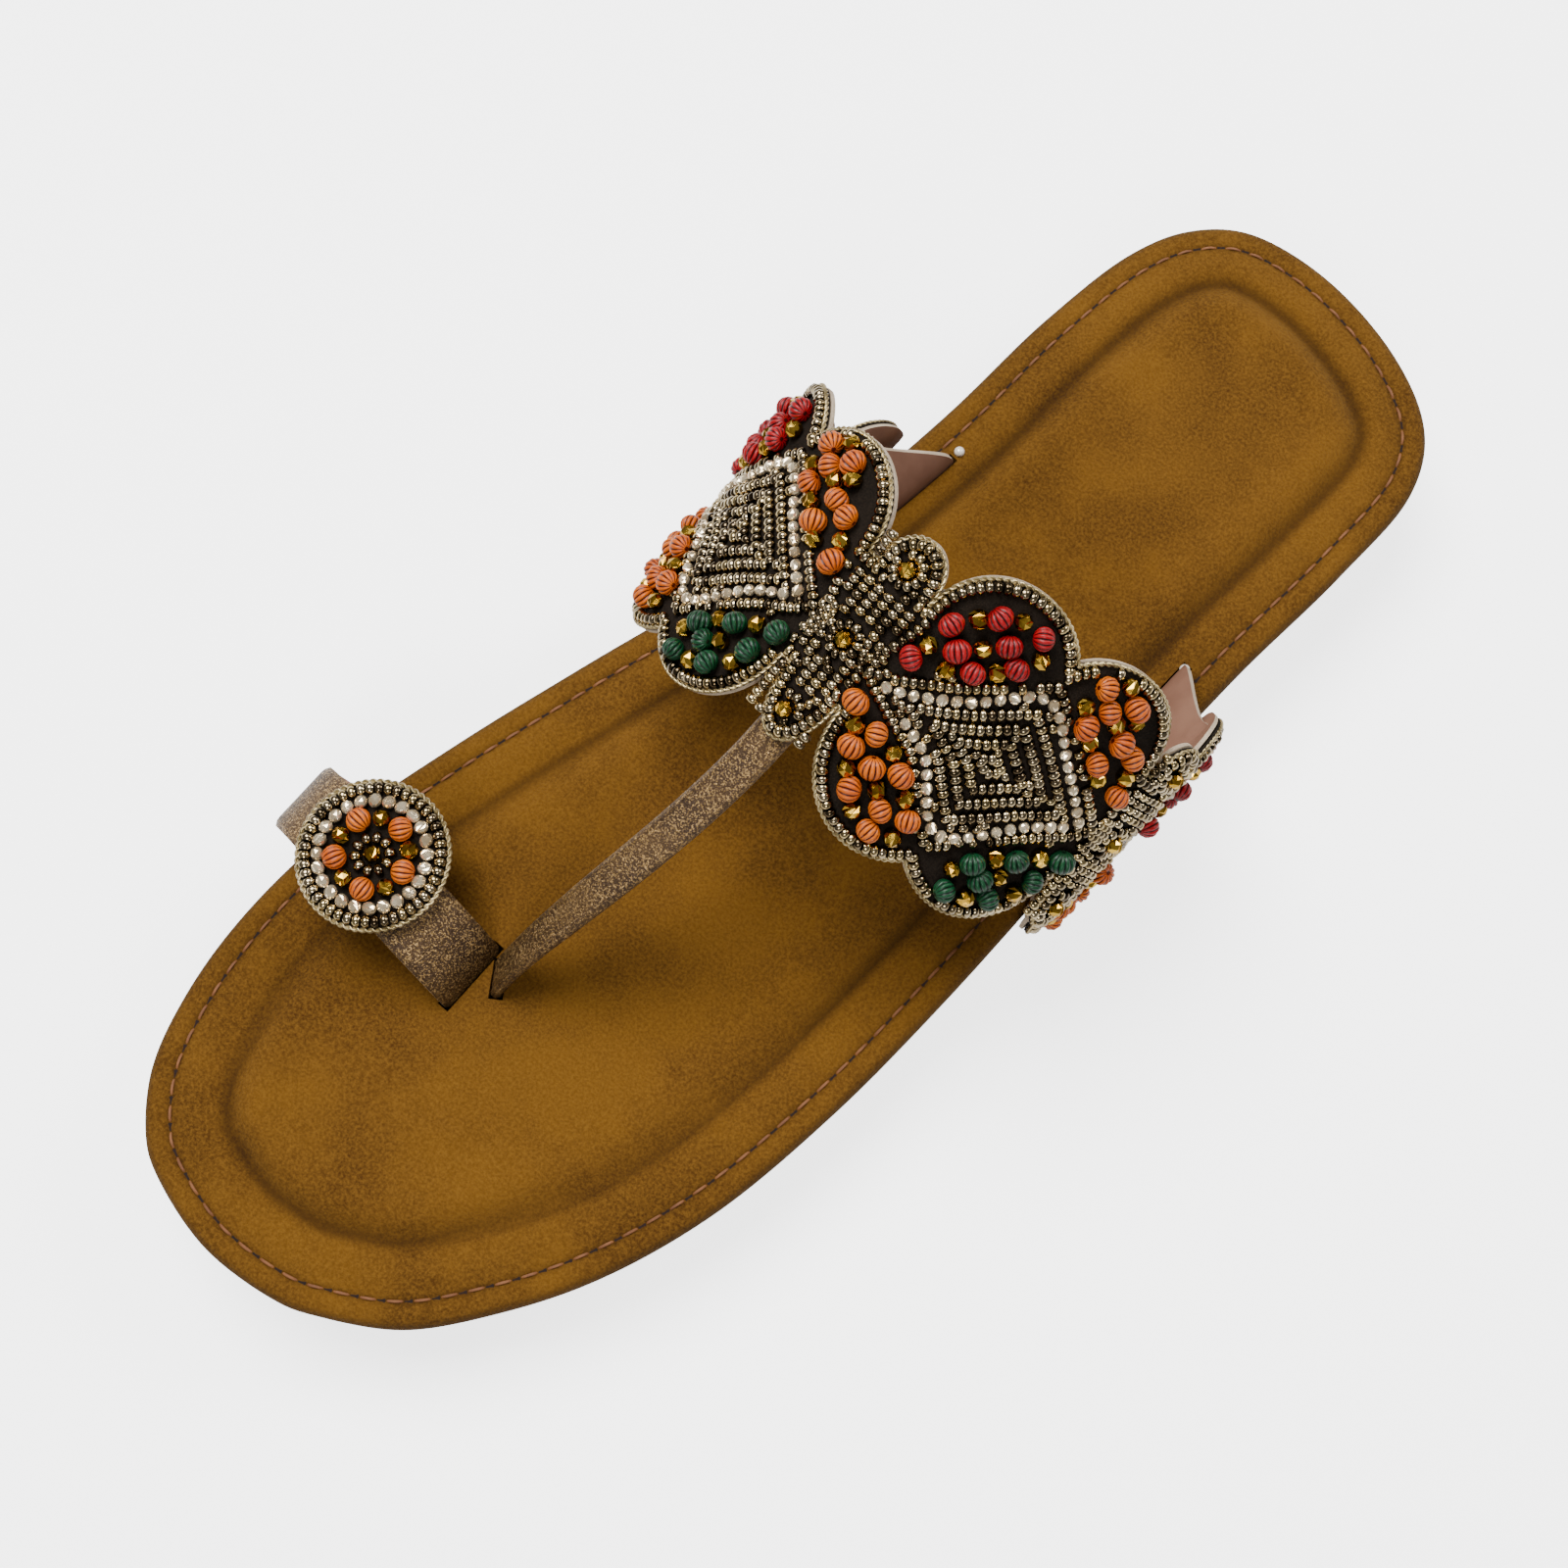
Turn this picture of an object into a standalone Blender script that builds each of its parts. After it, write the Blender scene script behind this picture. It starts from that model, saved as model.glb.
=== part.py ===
# Kolhapuri sandal for the left foot: beaded vamp band, toe loop with medallion, T strap,
# cushioned footbed and a lugged outsole. Metres, +Z up, toe towards -Y, outer side towards +X.
import math

import bmesh
import bpy
import numpy as np
from mathutils import Vector

LENGTH = 0.250
BALL_WIDTH = 0.092
HEEL_TOP = 0.0232
FOREFOOT_TOP = 0.0202
TOE_RISE = 0.0022
TOE_SPRING = 0.0024
ARCH_MEDIAL = 0.0034
ARCH_LATERAL = 0.0012
WAIST_INSET = 0.0022
CLEARANCE = 0.0003

FOOTBED_THICKNESS = 0.0045
PAD_STEP = 0.0013
PAD_INSET_HEEL = 0.0115
PAD_INSET_TOE = 0.0138
PAD_SLOPE = 0.0016
SLIT_DEPTH = 0.0030
SLIT_INSET = 0.0070
LOOP_SLIT_INSET = 0.0060
# Slits as shares of LENGTH from the heel: heel end and toe end.
BAND_SLIT = (0.282, 0.452)
LOOP_SLIT = (0.716, 0.772)

LUG_COUNT = 72
LUG_HEIGHT = 0.0050
LUG_DEPTH = 0.0014
GROOVE_DEPTH = 0.0012
OUTSOLE_SETBACK = 0.0010
RIM_HEIGHT = 0.0032

BAND_TILT = math.radians(23.0)
BAND_APEX = 0.0535
BAND_WALL = 0.0015
SEED_RISE = 0.0020
PETAL_RISE = 0.0012
CORD_RISE = 0.0008
SIDE_CLEARANCE = 0.0006
PATTERN_PITCH = 0.060
BAND_CENTRE = (-0.0163 * BALL_WIDTH, 0.020 * LENGTH)
BAND_END_MEDIAL = -0.913 * BALL_WIDTH
BAND_END_LATERAL = 0.957 * BALL_WIDTH
BAND_COLUMNS = 73

# Lining tabs: places of their roots along the band, and the band's rows that they span.
TAB_THICKNESS = 0.0012
TAB_MEDIAL = -0.760 * BALL_WIDTH
TAB_LATERAL = 0.826 * BALL_WIDTH
TAB_FIRST_ROW = 2
TAB_LAST_ROW = 9
TAB_STEPS = 6

STRAP_WIDTH = 0.0062
STRAP_THICKNESS = 0.0018
STRAP_LAP = 0.0085
STRAP_FOOT = (-0.1087 * BALL_WIDTH, -0.2416 * LENGTH)
STRAP_FOOT_TURN = math.radians(-53.0)
LOOP_WIDTH = 0.0130
LOOP_THICKNESS = 0.0016
LOOP_RISE = 0.0122
LOOP_FOOT = (-0.1804 * BALL_WIDTH, -0.259 * LENGTH)
LOOP_CENTRE = -0.256 * LENGTH
LOOP_LEAN = -0.06
MEDALLION_DIAMETER = 0.0246
MEDALLION_HEIGHT = 0.0034
MEDALLION_CENTRE = -0.2516 * LENGTH
MEDALLION_ACROSS = 0.630

CUTTER_REACH = 3.0
WELD = 1e-6

# Stations between which the footbed drops from heel to forefoot, and where its toe starts to rise.
TOP_DROP = (0.22, 0.62)
TOE_RISE_START = 0.78
# Stations of the waist: the arch comes in between the first two and goes out between the last two.
ARCH_WAIST = (0.26, 0.43, 0.46, 0.64)
INSET_WAIST = (0.24, 0.36, 0.46, 0.62)
TOE_SPRING_START = 0.82

# Footbed outline: station as a share of LENGTH from the heel, edges as shares of BALL_WIDTH.
OUTLINE_COLUMNS = ("station", "medial", "lateral")
OUTLINE = (
    (0.000, 0.024, 0.024),
    (0.012, -0.140, 0.233),
    (0.040, -0.224, 0.371),
    (0.080, -0.271, 0.432),
    (0.160, -0.296, 0.443),
    (0.260, -0.299, 0.434),
    (0.360, -0.322, 0.438),
    (0.460, -0.376, 0.450),
    (0.560, -0.446, 0.458),
    (0.660, -0.509, 0.454),
    (0.760, -0.555, 0.424),
    (0.840, -0.553, 0.359),
    (0.900, -0.520, 0.274),
    (0.948, -0.463, 0.178),
    (0.980, -0.379, 0.054),
    (0.990, -0.325, -0.003),
    (1.000, -0.165, -0.165),
)

# Arch of the band across the foot: place along the strip as a share of BALL_WIDTH, slope in degrees.
ARCH_COLUMNS = ("place", "slope")
ARCH = (
    (-0.978, 96.0),
    (-0.815, 103.8),
    (-0.652, 100.2),
    (-0.489, 69.6),
    (-0.326, 39.8),
    (-0.163, 26.2),
    (0.000, 4.4),
    (0.163, -20.8),
    (0.326, -32.2),
    (0.489, -43.8),
    (0.652, -69.8),
    (0.815, -98.1),
    (0.978, -93.0),
)

# Toe loop from the toe slit over the toe to the inner side: across as a share of the span
# from slit to footbed edge, height as a share of LOOP_RISE above the footbed.
LOOP_COLUMNS = ("across", "height")
LOOP = (
    (0.000, -0.130),
    (0.003, 0.120),
    (0.070, 0.500),
    (0.245, 0.880),
    (0.440, 1.000),
    (0.840, 1.000),
    (1.034, 0.820),
    (1.150, 0.420),
    (1.140, -0.050),
    (1.082, -0.430),
)


def ease(value, start, end):
    """Smooth step from 0 at start to 1 at end."""
    share = min(max((value - start) / (end - start), 0.0), 1.0)
    return share * share * (3.0 - 2.0 * share)


def spline(points, steps):
    """Centripetal spline through the points, with the given number of steps in each span."""
    points = [np.array(point, float) for point in points]
    points = [2 * points[0] - points[1]] + points + [2 * points[-1] - points[-2]]
    samples = []
    for first, second, third, fourth in zip(points, points[1:], points[2:], points[3:]):
        knots = [0.0]
        for start, end in ((first, second), (second, third), (third, fourth)):
            knots.append(knots[-1] + max(np.linalg.norm(end - start), 1e-9) ** 0.5)
        for step in range(steps):
            t = knots[1] + (knots[2] - knots[1]) * step / steps
            a1 = first + (second - first) * (t - knots[0]) / (knots[1] - knots[0])
            a2 = second + (third - second) * (t - knots[1]) / (knots[2] - knots[1])
            a3 = third + (fourth - third) * (t - knots[2]) / (knots[3] - knots[2])
            b1 = a1 + (a2 - a1) * (t - knots[0]) / (knots[2] - knots[0])
            b2 = a2 + (a3 - a2) * (t - knots[1]) / (knots[3] - knots[1])
            samples.append(b1 + (b2 - b1) * (t - knots[1]) / (knots[2] - knots[1]))
    samples.append(points[-2])
    return np.array(samples)


def resample(path, places):
    """Points of the path at the given shares of its length."""
    lengths = np.r_[0.0, np.cumsum(np.linalg.norm(np.diff(path, axis=0), axis=1))]
    wanted = np.array(places) * lengths[-1]
    return np.stack([np.interp(wanted, lengths, path[:, axis]) for axis in range(path.shape[1])], 1)


def station_of(y):
    """Share of the length, from the heel, at a place along Y."""
    return 0.5 - y / LENGTH


def outline_side(side):
    """One side of the footbed from heel tip to toe tip."""
    column = OUTLINE_COLUMNS.index(side)
    rows = [(row[column] * BALL_WIDTH, (0.5 - row[0]) * LENGTH) for row in OUTLINE]
    other = OUTLINE_COLUMNS.index("medial" if side == "lateral" else "lateral")
    before, after = ((row[other] * BALL_WIDTH, (0.5 - row[0]) * LENGTH)
                     for row in (OUTLINE[1], OUTLINE[-2]))
    steps = 24
    return spline([before] + rows + [after], steps)[steps:-steps]


SIDES = {side: outline_side(side) for side in ("medial", "lateral")}


def edge_x(side, y):
    """Place across the foot of the footbed's edge at y."""
    path = SIDES[side]
    middle = path[8:-8]
    return float(np.interp(-y, -middle[:, 1], middle[:, 0]))


def ring(count, inset):
    """Closed outline moved inwards; inset is a length or a function of station and side."""
    half = count // 2
    places = [(index + 0.5) / half for index in range(half)]
    lateral = resample(SIDES["lateral"], places)
    medial = resample(SIDES["medial"], places)[::-1]
    loop = np.vstack([lateral, medial])
    ahead = np.roll(loop, -1, axis=0) - np.roll(loop, 1, axis=0)
    inward = np.stack([ahead[:, 1], -ahead[:, 0]], 1)
    inward /= np.linalg.norm(inward, axis=1)[:, None]
    centre = loop.mean(axis=0)
    if np.sum((centre - loop) * inward) < 0:
        inward = -inward
    points = []
    for index, (point, direction) in enumerate(zip(loop, inward)):
        share = station_of(point[1])
        depth = inset(index, share, index < half) if callable(inset) else inset
        points.append(point + direction * depth)
    return np.array(points)


def waist_share(share, stations):
    """1 within the waist, 0 outside it."""
    return ease(share, *stations[:2]) * (1.0 - ease(share, *stations[2:]))


def bed_top(y):
    """Height of the footbed's edge above the floor."""
    share = station_of(y)
    level = HEEL_TOP + (FOREFOOT_TOP - HEEL_TOP) * ease(share, *TOP_DROP)
    return level + TOE_RISE * max((share - TOE_RISE_START) / (1.0 - TOE_RISE_START), 0.0) ** 2


def sole_bottom(y, lateral):
    """Height of the underside: arch at the waist and spring at the toe."""
    share = station_of(y)
    arch = ARCH_LATERAL if lateral else ARCH_MEDIAL
    spring = max((share - TOE_SPRING_START) / (1.0 - TOE_SPRING_START), 0.0) ** 2
    return arch * waist_share(share, ARCH_WAIST) + TOE_SPRING * spring


def material(name, color, roughness, metallic=0.0):
    made = bpy.data.materials.new(name)
    made.use_nodes = True
    shader = made.node_tree.nodes["Principled BSDF"]
    shader.inputs["Base Color"].default_value = (*color, 1.0)
    shader.inputs["Roughness"].default_value = roughness
    shader.inputs["Metallic"].default_value = metallic
    return made


def add_object(name, points, faces, finish=None):
    """Closed mesh object from points and faces, triangulated and with its faces pointing out."""
    mesh = bpy.data.meshes.new(name)
    mesh.from_pydata([tuple(point) for point in points], [], faces)
    edit = bmesh.new()
    edit.from_mesh(mesh)
    bmesh.ops.remove_doubles(edit, verts=edit.verts, dist=WELD)
    bmesh.ops.triangulate(edit, faces=edit.faces, quad_method="SHORT_EDGE")
    bmesh.ops.recalc_face_normals(edit, faces=edit.faces)
    edit.to_mesh(mesh)
    edit.free()
    mesh.shade_smooth()
    mesh.set_sharp_from_angle(angle=math.radians(35.0))
    made = bpy.data.objects.new(name, mesh)
    bpy.context.collection.objects.link(made)
    if finish:
        mesh.materials.append(finish)
    else:
        made.hide_render = True
        made.display_type = "WIRE"
    return made


def loft(rings):
    """Points and faces of stacked closed rings, closed at both ends by strips across."""
    count = len(rings[0])
    points = [point for level in rings for point in level]
    faces = []
    for level in range(len(rings) - 1):
        low = level * count
        high = low + count
        for index in range(count):
            after = (index + 1) % count
            faces.append((low + index, low + after, high + after, high + index))
    for base in (0, (len(rings) - 1) * count):
        for index in range(count // 2 - 1):
            across = count - 1 - index
            faces.append((base + index, base + index + 1, base + across - 1, base + across))
    return points, faces


def wall(outer, inner, tabs=()):
    """Closed sheet between two grids of points, with tabs grown out of the inner face.

    Each tab is (column, first row, last row, sections), and each section is a list of
    (front, back) point pairs, a pair for each row of the tab.
    """
    columns = len(outer)
    rows = len(outer[0])
    points = [point for line in outer for point in line]
    points += [point for line in inner for point in line]
    offset = columns * rows

    def at(column, row, inside):
        return column * rows + row + (offset if inside else 0)

    open_cells = {(tab[0], row) for tab in tabs for row in range(tab[1], tab[2])}
    faces = []
    for column in range(columns - 1):
        for row in range(rows - 1):
            corners = ((column, row), (column + 1, row), (column + 1, row + 1), (column, row + 1))
            faces.append([at(*corner, False) for corner in corners])
            if (column, row) not in open_cells:
                faces.append([at(*corner, True) for corner in reversed(corners)])
    border = [(column, 0) for column in range(columns)]
    border += [(columns - 1, row) for row in range(1, rows)]
    border += [(column, rows - 1) for column in range(columns - 2, -1, -1)]
    border += [(0, row) for row in range(rows - 2, 0, -1)]
    for here, there in zip(border, border[1:] + border[:1]):
        faces.append([at(*here, False), at(*here, True), at(*there, True), at(*there, False)])
    for column, first, last, sections in tabs:
        front = [at(column, row, True) for row in range(first, last + 1)]
        back = [at(column + 1, row, True) for row in range(first, last + 1)]
        loop = front + back[::-1]
        for section in sections:
            start = len(points)
            points += [pair[0] for pair in section] + [pair[1] for pair in reversed(section)]
            fresh = list(range(start, len(points)))
            for index in range(len(loop)):
                after = (index + 1) % len(loop)
                faces.append([loop[index], loop[after], fresh[after], fresh[index]])
            loop = fresh
        faces.append(list(loop))
    return points, faces


def ribbon(path, width, thickness, lean):
    """Flat strap along a path: lean gives the direction across the strap at each point."""
    outer = []
    inner = []
    shares = (-0.5, -0.36, 0.0, 0.36, 0.5)
    edge_fall = (0.55, 0.0, 0.0, 0.0, 0.55)
    for index, point in enumerate(path):
        ahead = path[min(index + 1, len(path) - 1)] - path[max(index - 1, 0)]
        ahead /= np.linalg.norm(ahead)
        across = lean[index] - ahead * np.dot(lean[index], ahead)
        across /= np.linalg.norm(across)
        out = np.cross(ahead, across)
        line = [point + across * share * width for share in shares]
        fall = [thickness * 0.5 * (1.0 - drop) for drop in edge_fall]
        outer.append([place + out * depth for place, depth in zip(line, fall)])
        inner.append([place - out * depth for place, depth in zip(line, fall)])
    return outer, inner


def slot_cutter(name, path, width, step):
    """Upright slot along a path, to cut the footbed with; step is the pad's rise there."""
    outer = []
    inner = []
    for index, point in enumerate(path):
        ahead = path[min(index + 1, len(path) - 1)] - path[max(index - 1, 0)]
        side = np.array((ahead[1], -ahead[0])) / np.linalg.norm(ahead[:2])
        for line, sign in ((outer, 0.5), (inner, -0.5)):
            place = point[:2] + side * width * sign
            low = bed_top(point[1]) + step - SLIT_DEPTH - CLEARANCE
            line.append([(*place, low), (*place, low + CUTTER_REACH * SLIT_DEPTH)])
    return add_object(name, *wall(outer, inner))


def slit_point(side, y, inset=SLIT_INSET):
    """Point on the footbed at a distance in from its edge."""
    sign = 1.0 if side == "medial" else -1.0
    return np.array((edge_x(side, y) + sign * inset, y, bed_top(y)))


def arch_profile():
    """Arch of the bead tops across the foot: places along the strip, then x, height and slope."""
    places = np.linspace(ARCH[0][0], ARCH[-1][0], 181)
    table = np.array(ARCH)
    slopes = np.radians(spline(table, 24)[:, 1])
    shares = spline(table, 24)[:, 0]
    slope = np.interp(places, shares, slopes)
    step = (places[1] - places[0]) * BALL_WIDTH
    across = np.r_[0.0, np.cumsum((np.cos(slope[1:]) + np.cos(slope[:-1])) / 2 * step)]
    height = np.r_[0.0, np.cumsum((np.sin(slope[1:]) + np.sin(slope[:-1])) / 2 * step)]
    across -= np.interp(0.0, places, across)
    height -= np.interp(0.0, places, height)
    depth = SEED_RISE * 1.25
    return places * BALL_WIDTH, across + np.sin(slope) * depth, height - np.cos(slope) * depth


PROFILE = arch_profile()


# Heights above the footbed, as shares of BAND_APEX, between which the band leaves its edge line.
EDGE_FOLLOW = (0.0654, 0.374)


def band_point(place, width):
    """Outer cloth face of the band at a place along the strip; width runs towards the heel."""
    across = np.interp(place, PROFILE[0], PROFILE[1])
    height = np.interp(place, PROFILE[0], PROFILE[2])
    y = BAND_CENTRE[1] - height * math.sin(BAND_TILT) + width * math.cos(BAND_TILT)
    apex = bed_top(BAND_CENTRE[1]) + BAND_APEX
    z = apex + height * math.cos(BAND_TILT) + width * math.sin(BAND_TILT)
    x = BAND_CENTRE[0] + across
    side = "lateral" if place > 0 else "medial"
    reach = SIDE_CLEARANCE + BAND_WALL
    beside = edge_x(side, y) + (reach if place > 0 else -reach)
    top = bed_top(y)
    follow = 1.0 - ease((z - top) / BAND_APEX, *EDGE_FOLLOW)
    return np.array((x + (beside - x) * follow, y, z))


def band_normal(place, width):
    """Direction out of the band's outer face."""
    step = PATTERN_PITCH / 150
    along = band_point(place + step, width) - band_point(place - step, width)
    over = band_point(place, width + step) - band_point(place, width - step)
    normal = np.cross(along, over)
    return normal / np.linalg.norm(normal)


# Scalloped edge of one repeat, all as shares of the pitch: lobe centre and half width along the
# strip, root and tip across it, once for the heel edge and once for the toe edge.
LOBE_COLUMNS = ("centre", "half_width", "root", "tip")
HEEL_LOBES = (
    (0.015, 0.092, 0.217, 0.317),
    (0.325, 0.217, 0.200, 0.393),
    (0.675, 0.217, 0.200, 0.393),
)
TOE_LOBES = (
    (0.010, 0.088, 0.147, 0.298),
    (0.350, 0.243, 0.133, 0.385),
    (0.650, 0.243, 0.133, 0.385),
)
# Raised petals, as shares of the pitch: middle and half length along the strip, middle and half
# width across it; then how much the ridge turns away from the strip's middle line.
PETAL_ALONG = (0.29, 0.18)
PETAL_ACROSS = (0.225, 0.125)
PETAL_TURN = 0.22


def scallop(place, lobes):
    """Edge of the band across the strip, at a place along it."""
    best = min(lobe[2] for lobe in lobes)
    for centre, half_width, root, tip in lobes:
        away = (place / PATTERN_PITCH - centre + 0.5) % 1.0 - 0.5
        if abs(away) < half_width:
            best = max(best, root + (tip - root) * math.sqrt(1.0 - (away / half_width) ** 2))
    return best * PATTERN_PITCH


def petal_rise(place, width):
    """Raised petals either side of the strip's middle, four to a repeat."""
    phase = (place / PATTERN_PITCH) % 1.0
    beyond = min(phase, 1.0 - phase) - PETAL_ALONG[0]
    along = beyond / PETAL_ALONG[1]
    ridge = PETAL_ACROSS[0] + PETAL_TURN * beyond
    over = (abs(width) / PATTERN_PITCH - ridge) / PETAL_ACROSS[1]
    return PETAL_RISE * max(1.0 - along * along - over * over, 0.0) ** 0.5


def curl(start, leave, arrive, end, steps):
    """Centre line that leaves one point and arrives at another."""
    samples = []
    for index in range(1, steps + 1):
        t = index / steps
        weights = ((1 - t) ** 3, 3 * t * (1 - t) ** 2, 3 * t * t * (1 - t), t ** 3)
        samples.append(sum(w * p for w, p in zip(weights, (start, leave, arrive, end))))
    return samples


def tab_sections(roots, feet, out_of_wall):
    """Sections of a lining tab that leaves a wall and goes down into its slit."""
    lines = []
    up = np.array((0.0, 0.0, 1.0))
    for root, foot in zip(roots, feet):
        mouth = foot + up * (SLIT_DEPTH + CLEARANCE)
        drop = root[2] - mouth[2]
        above = mouth + up * (0.22 * drop + TAB_THICKNESS)
        leave = root - up * 0.28 * drop + out_of_wall * TAB_THICKNESS * 1.5
        lines.append([root] + curl(root, leave, above, mouth, TAB_STEPS) + [foot])
    sections = []
    for step in range(1, TAB_STEPS + 2):
        section = []
        for line in lines:
            ahead = line[step + 1] - line[step - 1] if step < TAB_STEPS else -up
            across = feet[-1] - feet[0]
            face = np.cross(ahead, across)
            face *= TAB_THICKNESS * 0.5 / np.linalg.norm(face)
            if np.dot(face, out_of_wall) < 0:
                face = -face
            section.append((line[step] + face, line[step] - face))
        sections.append(section)
    return sections


def slit_line(side, ends, count, inset=SLIT_INSET):
    """Points along a slit from its toe end to its heel end."""
    places = np.linspace((0.5 - ends[1]) * LENGTH, (0.5 - ends[0]) * LENGTH, count)
    return [slit_point(side, place, inset) for place in places]


def slit_feet(line):
    """Bottom ends of a tab in its slit, kept clear of the slit's own ends."""
    path = spline(line, 8)
    spare = 2 * CLEARANCE / np.sum(np.linalg.norm(np.diff(path, axis=0), axis=1))
    feet = resample(path, np.linspace(spare, 1.0 - spare, len(line)))
    feet[:, 2] -= SLIT_DEPTH - CLEARANCE
    return [np.array(foot) for foot in feet]


def build_band(finish):
    """Beaded band over the instep, with a lining tab at each side into the footbed."""
    shares = (0.0, 0.05, 0.15, 0.27, 0.39, 0.50, 0.61, 0.73, 0.85, 0.95, 1.0)
    outer = []
    inner = []
    places = np.linspace(BAND_END_MEDIAL, BAND_END_LATERAL, BAND_COLUMNS)
    for place in places:
        low = -scallop(place, TOE_LOBES)
        high = scallop(place, HEEL_LOBES)
        outside = []
        inside = []
        for share in shares:
            width = low + (high - low) * share
            normal = band_normal(place, width)
            edge = min(share, 1.0 - share)
            rise = CORD_RISE + (SEED_RISE - CORD_RISE) * ease(edge, 0.0, 0.08)
            rise += petal_rise(place, width) * ease(edge, 0.0, 0.12)
            surface = band_point(place, width)
            outside.append(surface + normal * rise)
            inside.append(surface - normal * BAND_WALL)
        outer.append(outside)
        inner.append(inside)
    tabs = []
    for side, sign, root in (("medial", -1.0, TAB_MEDIAL), ("lateral", 1.0, TAB_LATERAL)):
        column = int(np.argmin(np.abs(places - root)))
        count = TAB_LAST_ROW - TAB_FIRST_ROW + 1
        roots = [(inner[column][row] + inner[column + 1][row]) / 2
                 for row in range(TAB_FIRST_ROW, TAB_LAST_ROW + 1)]
        feet = slit_feet(slit_line(side, BAND_SLIT, count))
        sections = tab_sections(roots, feet, np.array((-sign, 0.0, 0.0)))
        if side == "medial":
            sections = [[pair[::-1] for pair in section] for section in sections]
        tabs.append((column, TAB_FIRST_ROW, TAB_LAST_ROW, sections))
    return add_object("vamp_band", *wall(outer, inner, tabs), finish)


def strap_frame():
    """Centre line of the T strap and its direction across at each point.

    It runs from under the band's toe tongue down to the toe slit.
    """
    depth = BAND_WALL + CLEARANCE + STRAP_THICKNESS / 2
    toe_edge = -scallop(0.0, TOE_LOBES)
    lapped = []
    for share in (1.0, 0.55, 0.1):
        width = toe_edge + STRAP_LAP * share
        lapped.append(band_point(0.0, width) - band_normal(0.0, width) * depth)
    down_band = lapped[-1] - lapped[0]
    down_band /= np.linalg.norm(down_band)
    foot = np.array((*STRAP_FOOT, bed_top(STRAP_FOOT[1]) + PAD_STEP))
    chord = np.linalg.norm(foot - lapped[-1])
    leave = lapped[-1] + down_band * chord * 0.33
    climb = np.array((0.12, 0.45, 0.88))
    arrive = foot + climb * chord * 0.32
    path = lapped + curl(lapped[-1], leave, arrive, foot, 14)
    path += [foot - np.array((0.0, 0.0, share * (SLIT_DEPTH - CLEARANCE))) for share in (0.5, 1.0)]
    lean = []
    for index in range(len(path)):
        turn = STRAP_FOOT_TURN * ease(index, len(lapped) + 2, len(path) - 2)
        lean.append(np.array((math.cos(turn), math.sin(turn), 0.0)))
    return path, lean


def build_strap(finish):
    path, lean = strap_frame()
    outer, inner = ribbon(path, STRAP_WIDTH, STRAP_THICKNESS, lean)
    return add_object("t_strap", *wall(outer, inner), finish)


def loop_path():
    """Centre line of the toe loop, from the toe slit over to the inner side of the sole."""
    edge = edge_x("medial", LOOP_CENTRE)
    level = bed_top(LOOP_CENTRE)
    rows = []
    for across, height in LOOP:
        x = LOOP_FOOT[0] + (edge - LOOP_FOOT[0]) * across
        y = LOOP_FOOT[1] + (LOOP_CENTRE - LOOP_FOOT[1]) * min(across, 1.0)
        rows.append((x, y, level + LOOP_RISE * height))
    rows[0] = (*rows[0][:2], level + PAD_STEP - SLIT_DEPTH + CLEARANCE)
    return [np.array(point) for point in spline(rows, 3)]


def build_loop(finish):
    """Toe loop: leather strap with a lining tab that turns in to its own slit."""
    path = loop_path()
    lean = [np.array((LOOP_LEAN, 1.0, 0.0))] * len(path)
    outer, inner = ribbon(path, LOOP_WIDTH, LOOP_THICKNESS, lean)
    middle = sum(path) / len(path)
    if np.dot(outer[len(path) // 2][2] - path[len(path) // 2], path[len(path) // 2] - middle) < 0:
        outer, inner = inner, outer
    level = bed_top(LOOP_CENTRE) + LOOP_RISE * 0.36
    far = [index for index in range(len(path) // 2, len(path)) if path[index][2] > level]
    column = far[-1]
    rows = len(inner[0])
    line = slit_line("medial", LOOP_SLIT, rows, LOOP_SLIT_INSET)
    feet = slit_feet(line)
    if inner[column][0][1] > inner[column][-1][1]:
        feet = feet[::-1]
    roots = [(inner[column][row] + inner[column + 1][row]) / 2 for row in range(rows)]
    sections = tab_sections(roots, feet, np.array((1.0, 0.0, 0.0)))
    return add_object("toe_loop", *wall(outer, inner, [(column, 0, rows - 1, sections)]), finish)


# Medallion profile from rim to centre: radius and height as shares of half the diameter and
# of the height.
MEDALLION_COLUMNS = ("radius", "height")
MEDALLION = (
    (0.930, 0.000),
    (1.000, 0.220),
    (0.985, 0.520),
    (0.900, 0.660),
    (0.820, 0.560),
    (0.740, 0.800),
    (0.640, 0.780),
    (0.520, 1.000),
    (0.360, 0.900),
    (0.220, 0.720),
    (0.090, 0.900),
)


def build_medallion(finish):
    """Round beaded medallion on the crest of the toe loop."""
    count = 44
    edge = edge_x("medial", LOOP_CENTRE)
    centre_x = LOOP_FOOT[0] + (edge - LOOP_FOOT[0]) * MEDALLION_ACROSS
    base = max(point[2] for point in loop_path()) + LOOP_THICKNESS / 2 + CLEARANCE
    turns = [math.tau * index / count for index in range(count)]
    rings = []
    for radius, height in MEDALLION:
        reach = radius * MEDALLION_DIAMETER / 2
        rings.append([(centre_x + reach * math.cos(turn), MEDALLION_CENTRE + reach * math.sin(turn),
                       base + height * MEDALLION_HEIGHT) for turn in turns])
    return add_object("toe_medallion", *loft(rings), finish)


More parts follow.
